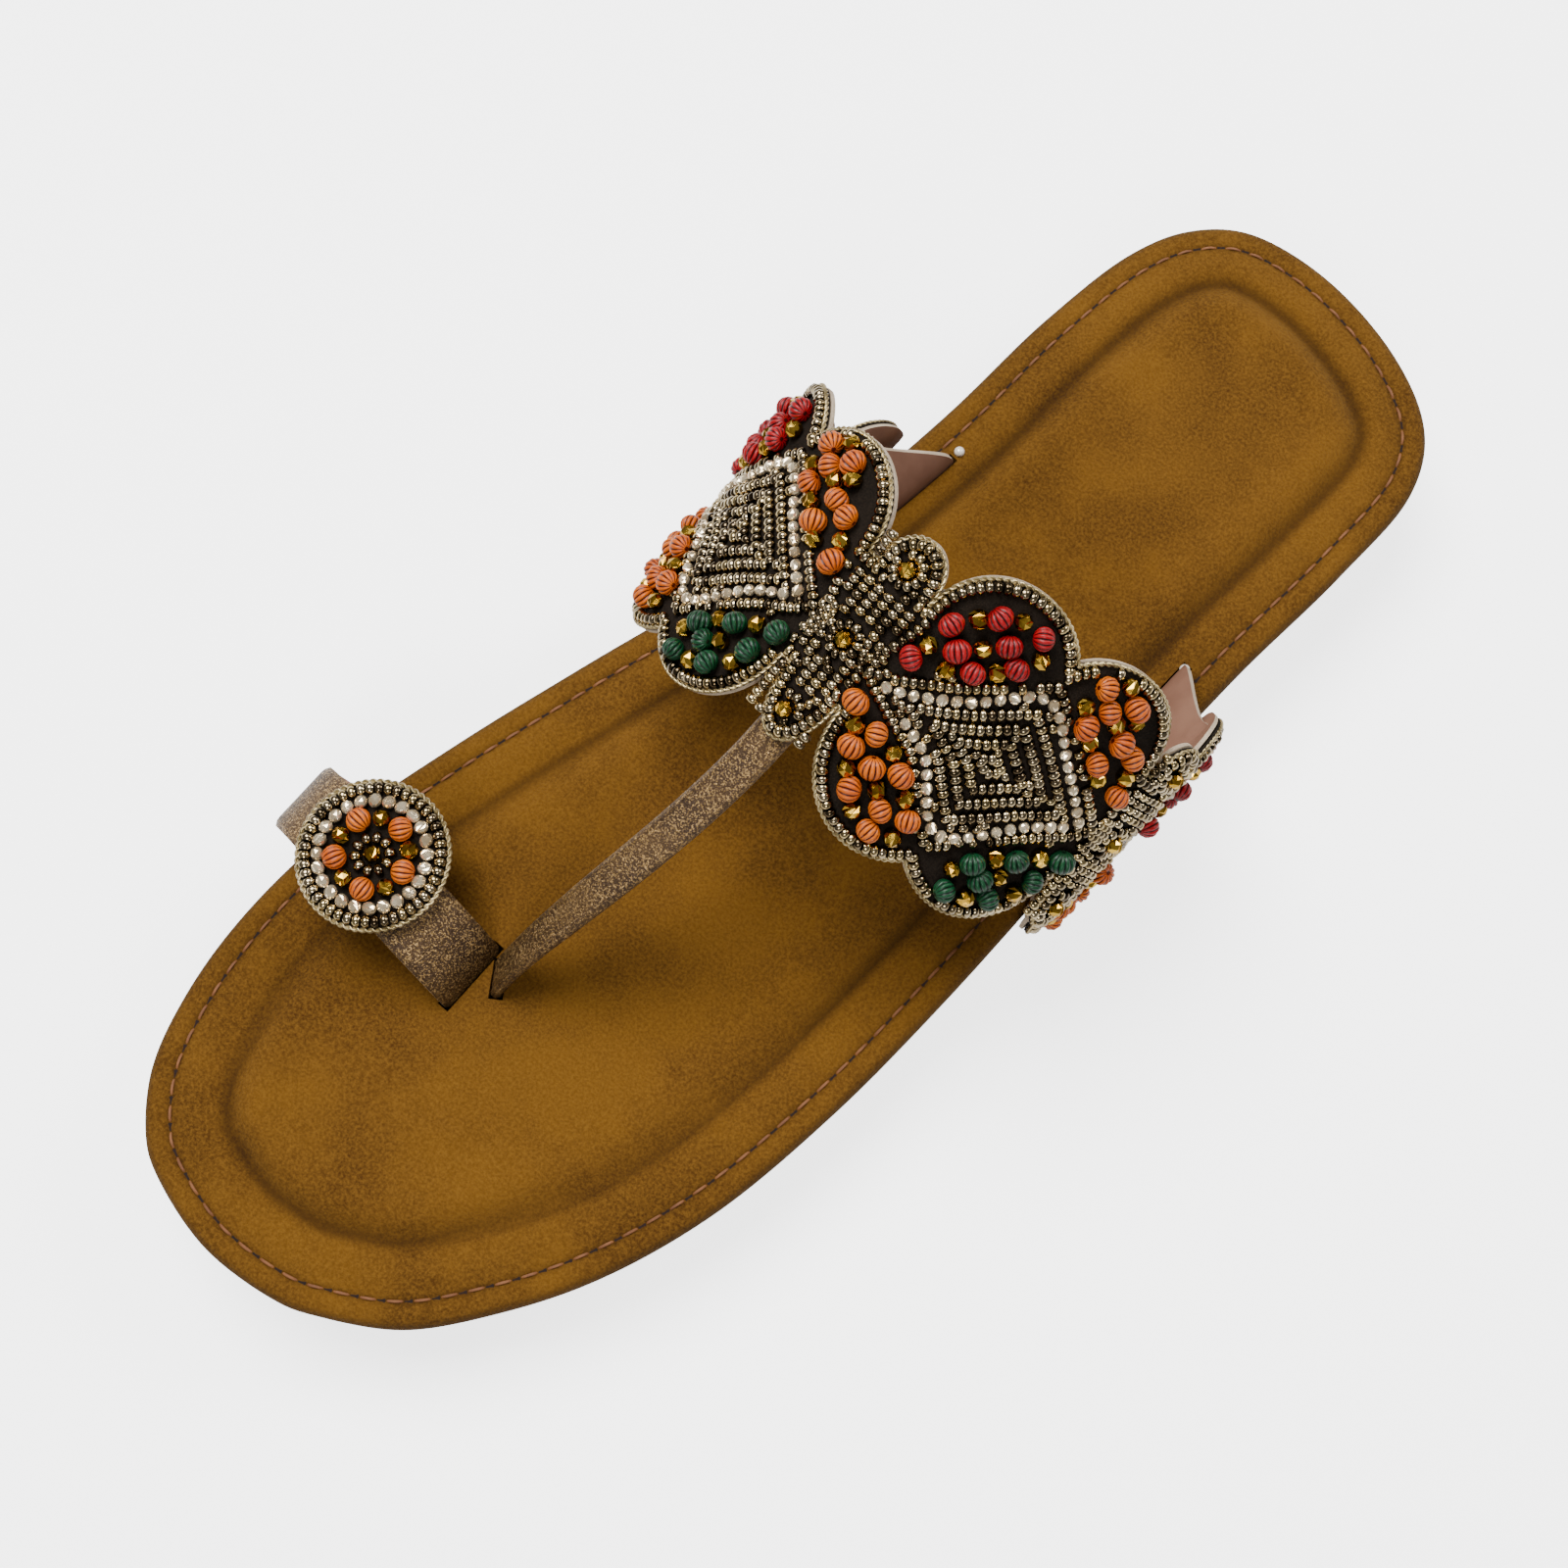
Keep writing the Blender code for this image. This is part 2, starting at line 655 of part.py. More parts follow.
def build_footbed(finish):
    """Footbed with a rolled edge, a raised cushion pad and the slits that hold the straps."""
    count = 96

    def pad_inset(index, share, lateral):
        return PAD_INSET_HEEL + (PAD_INSET_TOE - PAD_INSET_HEEL) * share

    def pad_top(index, share, lateral):
        return pad_inset(index, share, lateral) + PAD_SLOPE

    # inset and drop of the rolled edge as shares of the thickness, share of the pad's step
    levels = (
        (0.444, -1.00, 0.0),
        (0.089, -0.86, 0.0),
        (0.000, -0.58, 0.0),
        (0.067, -0.28, 0.0),
        (0.222, -0.08, 0.0),
        (0.489, 0.00, 0.0),
        (pad_inset, 0.00, 0.0),
        (pad_top, 0.00, 1.0),
    )
    rings = []
    for inset, drop, pad in levels:
        inset = inset if callable(inset) else inset * FOOTBED_THICKNESS
        rings.append([(x, y, bed_top(y) + drop * FOOTBED_THICKNESS + pad * PAD_STEP)
                      for x, y in ring(count, inset)])
    bed = add_object("footbed", *loft(rings), finish)
    cutters = []
    slots = [("medial_band_slit", slit_line("medial", BAND_SLIT, 7), TAB_THICKNESS),
             ("lateral_band_slit", slit_line("lateral", BAND_SLIT, 7), TAB_THICKNESS),
             ("medial_loop_slit", slit_line("medial", LOOP_SLIT, 5, LOOP_SLIT_INSET), TAB_THICKNESS)]
    loop_half = LOOP_WIDTH / 2 + CLEARANCE
    loop_ends = [np.array((LOOP_FOOT[0] + LOOP_LEAN * shift, LOOP_FOOT[1] + shift, 0.0))
                 for shift in (-loop_half, loop_half)]
    slots.append(("toe_loop_slit", loop_ends, LOOP_THICKNESS))
    turn = np.array((math.cos(STRAP_FOOT_TURN), math.sin(STRAP_FOOT_TURN), 0.0))
    strap_half = STRAP_WIDTH / 2 + CLEARANCE
    strap_ends = [np.array((*STRAP_FOOT, 0.0)) + turn * shift for shift in (-strap_half, strap_half)]
    slots.append(("t_strap_slit", strap_ends, STRAP_THICKNESS))
    for name, line, thickness in slots:
        step = PAD_STEP if name in ("toe_loop_slit", "t_strap_slit") else 0.0
        cutter = slot_cutter(name, line, thickness + 2 * CLEARANCE, step)
        cut = bed.modifiers.new(name, "BOOLEAN")
        cut.operation = "DIFFERENCE"
        cut.solver = "EXACT"
        cut.object = cutter
        cutters.append(cutter)
    return bed, cutters


def build_outsole(finish):
    """Lugged outsole: rim at the top, a recessed wall with bars, lugs at the bottom edge."""
    count = LUG_COUNT * 4

    def raised(index):
        return index % 4 in (0, 3)

    def inset(setback, step):
        def depth(index, share, lateral):
            waist = 0.0 if lateral else WAIST_INSET * waist_share(share, INSET_WAIST)
            return OUTSOLE_SETBACK + waist + LUG_DEPTH * (setback + (0.0 if raised(index) else step))
        return depth

    # setback and step between lugs as shares of LUG_DEPTH, height above the underside as a share
    # of LUG_HEIGHT or depth below the top as a share of RIM_HEIGHT, share of the groove
    levels = (
        (2.14, 0.00, 0.00, None, 1.0),
        (0.57, 1.00, 0.12, None, 1.0),
        (0.43, 1.00, 1.00, None, 0.0),
        (1.14, 0.43, 1.12, None, 0.0),
        (1.14, 0.50, None, 1.19, 0.0),
        (0.29, 0.00, None, 1.00, 0.0),
        (0.00, 0.00, None, 0.55, 0.0),
        (0.43, 0.00, None, 0.00, 0.0),
    )
    rings = []
    for setback, step, above, below, groove in levels:
        level = []
        for index, (x, y) in enumerate(ring(count, inset(setback, step))):
            if above is None:
                z = bed_top(y) - FOOTBED_THICKNESS - CLEARANCE - below * RIM_HEIGHT
            else:
                z = sole_bottom(y, index < count // 2) + above * LUG_HEIGHT
                z += 0.0 if raised(index) else groove * GROOVE_DEPTH
            level.append((x, y, z))
        rings.append(level)
    return add_object("outsole", *loft(rings), finish)


def stand_on_origin(objects):
    """Root empty that puts the middle of the whole sandal's base at the origin."""
    bpy.context.view_layer.update()
    depsgraph = bpy.context.evaluated_depsgraph_get()
    corners = []
    for item in objects:
        shape = item.evaluated_get(depsgraph).to_mesh()
        corners += [vertex.co.copy() for vertex in shape.vertices]
        item.evaluated_get(depsgraph).to_mesh_clear()
    low = Vector([min(corner[axis] for corner in corners) for axis in range(3)])
    high = Vector([max(corner[axis] for corner in corners) for axis in range(3)])
    root = bpy.data.objects.new("sandal", None)
    bpy.context.collection.objects.link(root)
    root.location = (-(low.x + high.x) / 2, -(low.y + high.y) / 2, -low.z)
    return root


def main():
    for item in list(bpy.data.objects):
        bpy.data.objects.remove(item)
    rubber = material("outsole_rubber", (0.050, 0.012, 0.010), 0.42)
    suede = material("footbed_suede", (0.300, 0.140, 0.035), 0.92)
    beads = material("band_beadwork", (0.120, 0.110, 0.100), 0.35, 0.6)
    bronze = material("t_strap_leather", (0.300, 0.200, 0.110), 0.45, 0.35)
    loop_bronze = material("toe_loop_leather", (0.300, 0.200, 0.110), 0.45, 0.35)
    disc = material("medallion_beadwork", (0.480, 0.420, 0.300), 0.30, 0.6)
    footbed, cutters = build_footbed(suede)
    pieces = [build_outsole(rubber), footbed, build_band(beads), build_strap(bronze),
              build_loop(loop_bronze), build_medallion(disc)]
    root = stand_on_origin(pieces)
    for item in pieces + cutters:
        item.parent = root


main()
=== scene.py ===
import math
import random

import bmesh
import bpy
import numpy as np
from mathutils import Matrix, Vector


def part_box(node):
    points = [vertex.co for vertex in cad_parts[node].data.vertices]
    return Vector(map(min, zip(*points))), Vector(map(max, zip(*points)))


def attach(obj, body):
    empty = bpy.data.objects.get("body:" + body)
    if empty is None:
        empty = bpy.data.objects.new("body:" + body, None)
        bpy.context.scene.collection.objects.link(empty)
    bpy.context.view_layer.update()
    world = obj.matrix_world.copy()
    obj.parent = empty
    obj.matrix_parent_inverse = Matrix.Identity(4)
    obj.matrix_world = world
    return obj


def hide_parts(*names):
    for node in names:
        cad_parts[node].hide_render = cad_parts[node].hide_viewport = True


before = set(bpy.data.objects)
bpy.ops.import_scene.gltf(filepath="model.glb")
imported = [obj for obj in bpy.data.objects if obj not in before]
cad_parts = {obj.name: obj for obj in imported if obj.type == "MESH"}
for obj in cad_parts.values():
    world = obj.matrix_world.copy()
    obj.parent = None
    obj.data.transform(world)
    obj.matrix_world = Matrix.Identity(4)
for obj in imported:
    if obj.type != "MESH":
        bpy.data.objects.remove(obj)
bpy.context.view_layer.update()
mm = 0.001
print("frame loaded:", ", ".join(sorted(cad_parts)))

# The last: sizes repeated from the solids, in metres.
last = {
    "length": 0.250,
    "ballWidth": 0.092,
    "heelTop": 0.0232,
    "forefootTop": 0.0202,
    "toeRise": 0.0022,
    "toeSpring": 0.0024,
    "archMedial": 0.0034,
    "archLateral": 0.0012,
    "waistInset": 0.0022,
    "footbedThickness": 0.0045,
    "padStep": 0.0013,
    "slitDepth": 0.0030,
    "slitInset": 0.0070,
    "gap": 0.0003,
    # station from the heel as a share of the length, then the two edges as shares of the ball width
    "outline": (
        (0.000, 0.024, 0.024), (0.012, -0.140, 0.233), (0.040, -0.224, 0.371), (0.080, -0.271, 0.432),
        (0.160, -0.296, 0.443), (0.260, -0.299, 0.434), (0.360, -0.322, 0.438), (0.460, -0.376, 0.450),
        (0.560, -0.446, 0.458), (0.660, -0.509, 0.454), (0.760, -0.555, 0.424), (0.840, -0.553, 0.359),
        (0.900, -0.520, 0.274), (0.948, -0.463, 0.178), (0.980, -0.379, 0.054), (0.990, -0.325, -0.003),
        (1.000, -0.165, -0.165)),
}


def ease(value, start, end):
    share = min(max((value - start) / (end - start), 0.0), 1.0)
    return share * share * (3.0 - 2.0 * share)


# One where away is nothing, falling to nothing within about two widths.
def hump(away, width):
    return math.exp(-(away / width) ** 2)


def splinePath(points, steps):
    points = [np.array(point, float) for point in points]
    points = [2 * points[0] - points[1]] + points + [2 * points[-1] - points[-2]]
    samples = []
    for first, second, third, fourth in zip(points, points[1:], points[2:], points[3:]):
        knots = [0.0]
        for start, end in ((first, second), (second, third), (third, fourth)):
            knots.append(knots[-1] + max(np.linalg.norm(end - start), 1e-9) ** 0.5)
        for step in range(steps):
            t = knots[1] + (knots[2] - knots[1]) * step / steps
            a1 = first + (second - first) * (t - knots[0]) / (knots[1] - knots[0])
            a2 = second + (third - second) * (t - knots[1]) / (knots[2] - knots[1])
            a3 = third + (fourth - third) * (t - knots[2]) / (knots[3] - knots[2])
            b1 = a1 + (a2 - a1) * (t - knots[0]) / (knots[2] - knots[0])
            b2 = a2 + (a3 - a2) * (t - knots[1]) / (knots[3] - knots[1])
            samples.append(b1 + (b2 - b1) * (t - knots[1]) / (knots[2] - knots[1]))
    samples.append(points[-2])
    return np.array(samples)


def resamplePath(path, shares):
    lengths = np.r_[0.0, np.cumsum(np.linalg.norm(np.diff(path, axis=0), axis=1))]
    wanted = np.array(shares) * lengths[-1]
    return np.stack([np.interp(wanted, lengths, path[:, axis]) for axis in range(path.shape[1])], 1)


def pathLength(path):
    return float(np.sum(np.linalg.norm(np.diff(path, axis=0), axis=1)))


def outlineSide(column):
    rows = [(row[column] * last["ballWidth"], (0.5 - row[0]) * last["length"]) for row in last["outline"]]
    other = 3 - column
    ends = []
    for row in (last["outline"][1], last["outline"][-2]):
        ends.append((row[other] * last["ballWidth"], (0.5 - row[0]) * last["length"]))
    return splinePath([ends[0]] + rows + [ends[1]], 24)[24:-24]


sides = {"medial": outlineSide(1), "lateral": outlineSide(2)}


def edgeX(side, y):
    path = sides[side][8:-8]
    return float(np.interp(-y, -path[:, 1], path[:, 0]))


def ring(count, inset):
    half = count // 2
    shares = [(index + 0.5) / half for index in range(half)]
    loop = np.vstack([resamplePath(sides["lateral"], shares), resamplePath(sides["medial"], shares)[::-1]])
    ahead = np.roll(loop, -1, axis=0) - np.roll(loop, 1, axis=0)
    inward = np.stack([-ahead[:, 1], ahead[:, 0]], 1)
    inward /= np.linalg.norm(inward, axis=1)[:, None]
    if np.sum((loop.mean(axis=0) - loop) * inward) < 0:
        inward = -inward
    depth = np.array([inset(index, point) if callable(inset) else inset for index, point in enumerate(loop)])
    return loop + inward * depth[:, None]


def stationOf(y):
    return 0.5 - y / last["length"]


def bedTop(y):
    share = stationOf(y)
    level = last["heelTop"] + (last["forefootTop"] - last["heelTop"]) * ease(share, 0.22, 0.62)
    return level + last["toeRise"] * max((share - 0.78) / 0.22, 0.0) ** 2


def soleBottom(y, lateral):
    share = stationOf(y)
    arch = last["archLateral"] if lateral else last["archMedial"]
    waist = ease(share, 0.26, 0.43) * (1.0 - ease(share, 0.46, 0.64))
    return arch * waist + last["toeSpring"] * max((share - 0.82) / 0.18, 0.0) ** 2


# Where the solids stand in the frame, against the sizes above.
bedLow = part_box("footbed")[0]
plainRing = ring(96, 0.0)
shift = np.array((bedLow[0] - plainRing[:, 0].min(), bedLow[1] - plainRing[:, 1].min(), 0.0))


def addPiece(name, points, faces, materials, faceMaterials=None, smoothAngle=40.0, *, slot):
    mesh = bpy.data.meshes.new(name)
    mesh.from_pydata((np.asarray(points, float) + shift).tolist(), [], faces)
    for material in materials:
        mesh.materials.append(material)
    if faceMaterials is not None:
        mesh.polygons.foreach_set("material_index", np.asarray(faceMaterials, np.int32))
    if smoothAngle:
        mesh.shade_smooth()
        mesh.set_sharp_from_angle(angle=math.radians(smoothAngle))
    else:
        mesh.shade_flat()
    mesh.update()
    piece = bpy.data.objects.new(name, mesh)
    bpy.context.collection.objects.link(piece)
    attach(piece, "root")
    return piece


def tidyNormals(piece):
    edit = bmesh.new()
    edit.from_mesh(piece.data)
    bmesh.ops.remove_doubles(edit, verts=edit.verts, dist=1e-7)
    bmesh.ops.recalc_face_normals(edit, faces=edit.faces)
    edit.to_mesh(piece.data)
    edit.free()


# Rings of points joined into a closed skin, with a cap of cross strips at both ends.
def loft(rings):
    count = len(rings[0])
    points = [point for level in rings for point in level]
    faces = []
    for level in range(len(rings) - 1):
        low = level * count
        high = low + count
        for index in range(count):
            after = (index + 1) % count
            faces.append((low + index, low + after, high + after, high + index))
    for base in ((len(rings) - 1) * count, 0):
        for index in range(count // 2 - 1):
            across = count - 1 - index
            faces.append((base + index, base + index + 1, base + across - 1, base + across))
    return points, faces


# Sheet between two grids of points; the third list says which faces are outer, inner, rim or tab.
def wall(outer, inner, tabs=()):
    columns = len(outer)
    rows = len(outer[0])
    points = [point for line in outer for point in line] + [point for line in inner for point in line]
    offset = columns * rows

    def at(column, row, inside):
        return column * rows + row + (offset if inside else 0)

    openCells = {(tab["column"], row) for tab in tabs for row in range(tab["first"], tab["last"])}
    faces = []
    kinds = []
    for column in range(columns - 1):
        for row in range(rows - 1):
            corners = ((column, row), (column + 1, row), (column + 1, row + 1), (column, row + 1))
            faces.append([at(*corner, False) for corner in corners])
            kinds.append(0)
            if (column, row) not in openCells:
                faces.append([at(*corner, True) for corner in reversed(corners)])
                kinds.append(1)
    border = [(column, 0) for column in range(columns)]
    border += [(columns - 1, row) for row in range(1, rows)]
    border += [(column, rows - 1) for column in range(columns - 2, -1, -1)]
    border += [(0, row) for row in range(rows - 2, 0, -1)]
    for here, there in zip(border, border[1:] + border[:1]):
        faces.append([at(*here, False), at(*here, True), at(*there, True), at(*there, False)])
        kinds.append(2)
    for tab in tabs:
        front = [at(tab["column"], row, True) for row in range(tab["first"], tab["last"] + 1)]
        back = [at(tab["column"] + 1, row, True) for row in range(tab["first"], tab["last"] + 1)]
        loop = front + back[::-1]
        flat = len(front) - 1
        for section in tab["sections"]:
            start = len(points)
            points += [pair[0] for pair in section] + [pair[1] for pair in reversed(section)]
            fresh = list(range(start, len(points)))
            for index in range(len(loop)):
                after = (index + 1) % len(loop)
                faces.append([loop[index], loop[after], fresh[after], fresh[index]])
                kinds.append(2 if index in (flat, len(loop) - 1) else 1)
            loop = fresh
        faces.append(list(loop))
        kinds.append(1)
    return points, faces, kinds


# Faces of a tube whose points go round it ring after ring, with an end cap on each side.
def tubeFaces(start, levels, sides):
    faces = []
    for level in range(levels - 1):
        low = start + level * sides
        for side in range(sides):
            after = (side + 1) % sides
            faces.append((low + side, low + after, low + sides + after, low + sides + side))
    faces.append(tuple(start + side for side in reversed(range(sides))))
    faces.append(tuple(start + (levels - 1) * sides + side for side in range(sides)))
    return faces


def circle(radius, count):
    turns = [math.tau * index / count for index in range(count)]
    return [(radius * math.cos(turn), radius * math.sin(turn)) for turn in turns]


# Node groups: an effect is built once, and each material places it with its own values.
def newGroup(name, inputs, outputs):
    group = bpy.data.node_groups.new(name, "ShaderNodeTree")
    for label, kind, value in inputs:
        socket = group.interface.new_socket(name=label, in_out="INPUT", socket_type=kind)
        socket.default_value = value
    for label, kind in outputs:
        group.interface.new_socket(name=label, in_out="OUTPUT", socket_type=kind)
    start = group.nodes.new("NodeGroupInput")
    end = group.nodes.new("NodeGroupOutput")
    return group, start, end


def addNode(tree, kind, **values):
    node = tree.nodes.new(kind)
    for key, value in values.items():
        setattr(node, key, value)
    return node


def mathNode(tree, operation, first, second):
    node = addNode(tree, "ShaderNodeMath", operation=operation)
    for socket, value in zip(node.inputs, (first, second)):
        if isinstance(value, (int, float)):
            socket.default_value = value
        else:
            tree.links.new(value, socket)
    return node.outputs[0]


def mixColors(tree, factor, first, second):
    node = addNode(tree, "ShaderNodeMix", data_type="RGBA")
    for socket, value in ((node.inputs[0], factor), (node.inputs[6], first), (node.inputs[7], second)):
        if isinstance(value, tuple):
            socket.default_value = (*value, 1.0)
        else:
            tree.links.new(value, socket)
    return node.outputs[2]


def rangeNode(tree, value, low, high, toLow=0.0, toHigh=1.0):
    node = addNode(tree, "ShaderNodeMapRange", interpolation_type="SMOOTHSTEP")
    tree.links.new(value, node.inputs["Value"])
    for key, number in (("From Min", low), ("From Max", high), ("To Min", toLow), ("To Max", toHigh)):
        node.inputs[key].default_value = number
    return node.outputs["Result"]


def noiseNode(tree, vector, scale, detail, roughness):
    node = addNode(tree, "ShaderNodeTexNoise")
    tree.links.new(vector, node.inputs["Vector"])
    tree.links.new(scale, node.inputs["Scale"])
    node.inputs["Detail"].default_value = detail
    node.inputs["Roughness"].default_value = roughness
    return node.outputs[0]


# Fine grain with broad clouding: nap of suede, skin of leather, skin of rubber.
def buildGrainGroup():
    inputs = (("Vector", "NodeSocketVector", (0, 0, 0)), ("Fine Scale", "NodeSocketFloat", 2500.0),
              ("Broad Scale", "NodeSocketFloat", 30.0))
    outputs = (("Fine", "NodeSocketFloat"), ("Broad", "NodeSocketFloat"))
    group, start, end = newGroup("grainAndClouding", inputs, outputs)
    fine = noiseNode(group, start.outputs["Vector"], start.outputs["Fine Scale"], 5.0, 0.72)
    broad = noiseNode(group, start.outputs["Vector"], start.outputs["Broad Scale"], 4.0, 0.58)
    group.links.new(rangeNode(group, fine, 0.30, 0.70), end.inputs["Fine"])
    group.links.new(rangeNode(group, broad, 0.34, 0.68), end.inputs["Broad"])
    return group


# Sparse bright flakes on a leather skin.
def buildGlitterGroup():
    inputs = (("Vector", "NodeSocketVector", (0, 0, 0)), ("Flake Scale", "NodeSocketFloat", 2400.0))
    outputs = (("Flakes", "NodeSocketFloat"),)
    group, start, end = newGroup("glitterFlakes", inputs, outputs)
    cells = addNode(group, "ShaderNodeTexVoronoi")
    group.links.new(start.outputs["Vector"], cells.inputs["Vector"])
    group.links.new(start.outputs["Flake Scale"], cells.inputs["Scale"])
    split = addNode(group, "ShaderNodeSeparateColor")
    group.links.new(cells.outputs["Color"], split.inputs[0])
    group.links.new(rangeNode(group, split.outputs[0], 0.55, 0.92), end.inputs["Flakes"])
    return group


groups = {"grain": buildGrainGroup(), "glitter": buildGlitterGroup()}


def newMaterial(name, values):
    material = bpy.data.materials.new(name)
    material.use_nodes = True
    tree = material.node_tree
    shader = tree.nodes["Principled BSDF"]
    for label, value in values.items():
        shader.inputs[label].default_value = (*value, 1.0) if isinstance(value, tuple) else value
    return material, tree, shader


def objectVector(tree):
    return addNode(tree, "ShaderNodeTexCoord").outputs["Object"]


def placeGroup(tree, key, vector, **values):
    node = addNode(tree, "ShaderNodeGroup", node_tree=groups[key])
    tree.links.new(vector, node.inputs["Vector"])
    for label, value in values.items():
        node.inputs[label].default_value = value
    return node


def placeGrain(tree, vector, look):
    return placeGroup(tree, "grain", vector, **{"Fine Scale": look["fineScale"],
                                                "Broad Scale": look["broadScale"]})


def bumpInto(tree, shader, height, look):
    bump = addNode(tree, "ShaderNodeBump")
    bump.inputs["Strength"].default_value = look["bump"]
    bump.inputs["Distance"].default_value = look["bumpDistance"]
    tree.links.new(height, bump.inputs["Height"])
    tree.links.new(bump.outputs["Normal"], shader.inputs["Normal"])


# Grained finish: two colours clouded into each other, a fine grain over both, and its bump.
def grainedMaterial(name, look):
    values = {"Roughness": look["roughness"], "Specular IOR Level": look.get("specular", 0.3)}
    values.update(look.get("shader", {}))
    material, tree, shader = newMaterial(name, values)
    vector = objectVector(tree)
    grain = placeGrain(tree, vector, look)
    cloud = mixColors(tree, grain.outputs["Broad"], look["dark"], look["light"])
    shade = mathNode(tree, "MULTIPLY", grain.outputs["Fine"], look["grainShade"])
    color = mixColors(tree, shade, cloud, look["speck"])
    tree.links.new(color, shader.inputs["Base Color"])
    smoothest = look["roughness"] - look["roughSpread"]
    roughest = look["roughness"] + look["roughSpread"]
    tree.links.new(rangeNode(tree, grain.outputs["Fine"], 0.0, 1.0, smoothest, roughest),
                   shader.inputs["Roughness"])
    bumpInto(tree, shader, grain.outputs["Fine"], look)
    return material, tree, shader


looks = {
    "suede": {"dark": (0.034, 0.0115, 0.0005), "light": (0.088, 0.036, 0.0028),
              "speck": (0.170, 0.080, 0.012),
              "grainShade": 0.60, "fineScale": 2000.0, "broadScale": 42.0, "roughness": 0.92,
              "roughSpread": 0.05, "bump": 0.45, "bumpDistance": 0.0003, "specular": 0.10,
              # painted shade: its strength, and the dark colour that the crease, groove, rolled edge and
              # side are mixed towards
              "creaseShade": 0.66, "crease": (0.016, 0.0055, 0.0005),
              "shader": {"Sheen Weight": 0.10, "Sheen Roughness": 0.5, "Sheen Tint": (0.70, 0.45, 0.18)}},
    "rubber": {"dark": (0.026, 0.0040, 0.0026), "light": (0.052, 0.0080, 0.0050),
               "speck": (0.080, 0.016, 0.010),
               "grainShade": 0.30, "fineScale": 1600.0, "broadScale": 60.0, "roughness": 0.40,
               "roughSpread": 0.08, "bump": 0.20, "bumpDistance": 0.0002, "specular": 0.28},
    "lining": {"dark": (0.150, 0.070, 0.044), "light": (0.215, 0.108, 0.070), "speck": (0.260, 0.145, 0.098),
               "grainShade": 0.20, "fineScale": 3600.0, "broadScale": 70.0, "roughness": 0.55,
               "roughSpread": 0.06, "bump": 0.15, "bumpDistance": 0.0001},
    "liningEdge": {"dark": (0.230, 0.160, 0.095), "light": (0.340, 0.255, 0.165),
                   "speck": (0.860, 0.780, 0.660), "grainShade": 0.25, "fineScale": 4200.0,
                   "broadScale": 160.0, "roughness": 0.7, "roughSpread": 0.06, "bump": 0.2,
                   "bumpDistance": 0.0001},
    "blackCloth": {"dark": (0.004, 0.003, 0.002), "light": (0.010, 0.007, 0.005),
                   "speck": (0.030, 0.021, 0.014), "grainShade": 0.45, "fineScale": 3200.0,
                   "broadScale": 120.0, "roughness": 0.90, "roughSpread": 0.06, "bump": 0.6,
                   "bumpDistance": 0.0003, "specular": 0.08},
    "thread": {"dark": (0.075, 0.022, 0.005), "light": (0.150, 0.052, 0.014), "speck": (0.220, 0.095, 0.035),
               "grainShade": 0.4, "fineScale": 5200.0, "broadScale": 300.0, "roughness": 0.6,
               "roughSpread": 0.08, "bump": 0.4, "bumpDistance": 0.0001},
    # painted shade of the needle holes: the colour of flat near-black discs
    "needleHoleShade": {"dark": (0.004, 0.0012, 0.0006), "light": (0.009, 0.002, 0.001),
                   "speck": (0.014, 0.004, 0.002), "grainShade": 0.3, "fineScale": 4200.0,
                   "broadScale": 200.0, "roughness": 0.9, "roughSpread": 0.05, "bump": 0.3,
                   "bumpDistance": 0.0001},
}
materials = {}
for key, look in looks.items():
    material, tree, shader = grainedMaterial(key, look)
    if key == "suede":
        # Painted shade: the mesh's shade attribute darkens the suede towards the crease colour.
        paintedShade = addNode(tree, "ShaderNodeAttribute", attribute_name="shade")
        plain = shader.inputs["Base Color"].links[0].from_socket
        amount = mathNode(tree, "MULTIPLY", paintedShade.outputs["Fac"], look["creaseShade"])
        tree.links.new(mixColors(tree, amount, plain, look["crease"]), shader.inputs["Base Color"])
    materials[key] = material


# Bronze leather with glitter in its skin.
def glitterLeather(name, look):
    values = {"Metallic": look["metallic"], "Roughness": look["roughness"]}
    material, tree, shader = newMaterial(name, values)
    vector = objectVector(tree)
    grain = placeGrain(tree, vector, look)
    flakes = placeGroup(tree, "glitter", vector, **{"Flake Scale": look["flakeScale"]})
    skin = mixColors(tree, grain.outputs["Broad"], look["dark"], look["light"])
    amount = mathNode(tree, "MULTIPLY", flakes.outputs["Flakes"], look["flakeAmount"])
    tree.links.new(mixColors(tree, amount, skin, look["flake"]), shader.inputs["Base Color"])
    rough = rangeNode(tree, flakes.outputs["Flakes"], 0.0, 1.0, look["roughness"], look["flakeRoughness"])
    tree.links.new(rough, shader.inputs["Roughness"])
    height = mathNode(tree, "ADD", grain.outputs["Fine"], flakes.outputs["Flakes"])
    bumpInto(tree, shader, height, look)
    return material


bronze = {"dark": (0.032, 0.014, 0.003), "light": (0.062, 0.030, 0.007), "flake": (0.440, 0.270, 0.100),
          "flakeAmount": 0.62, "flakeScale": 4800.0, "flakeRoughness": 0.24, "metallic": 0.50,
          "roughness": 0.44, "fineScale": 1900.0, "broadScale": 90.0, "bump": 0.55, "bumpDistance": 0.00018}
materials["strapLeather"] = glitterLeather("strapLeather", bronze)
materials["loopLeather"] = glitterLeather("loopLeather", bronze)


# Plated beads: tarnish in clouds over the plating.
tarnish = {"fineScale": 900.0, "broadScale": 260.0}


def platedMaterial(name, look):
    material, tree, shader = newMaterial(name, {"Metallic": look["metallic"]})
    grain = placeGrain(tree, objectVector(tree), tarnish)
    color = mixColors(tree, grain.outputs["Broad"], look["dark"], look["light"])
    tree.links.new(color, shader.inputs["Base Color"])
    tree.links.new(rangeNode(tree, grain.outputs["Fine"], 0.0, 1.0, look["smooth"], look["rough"]),
                   shader.inputs["Roughness"])
    return material


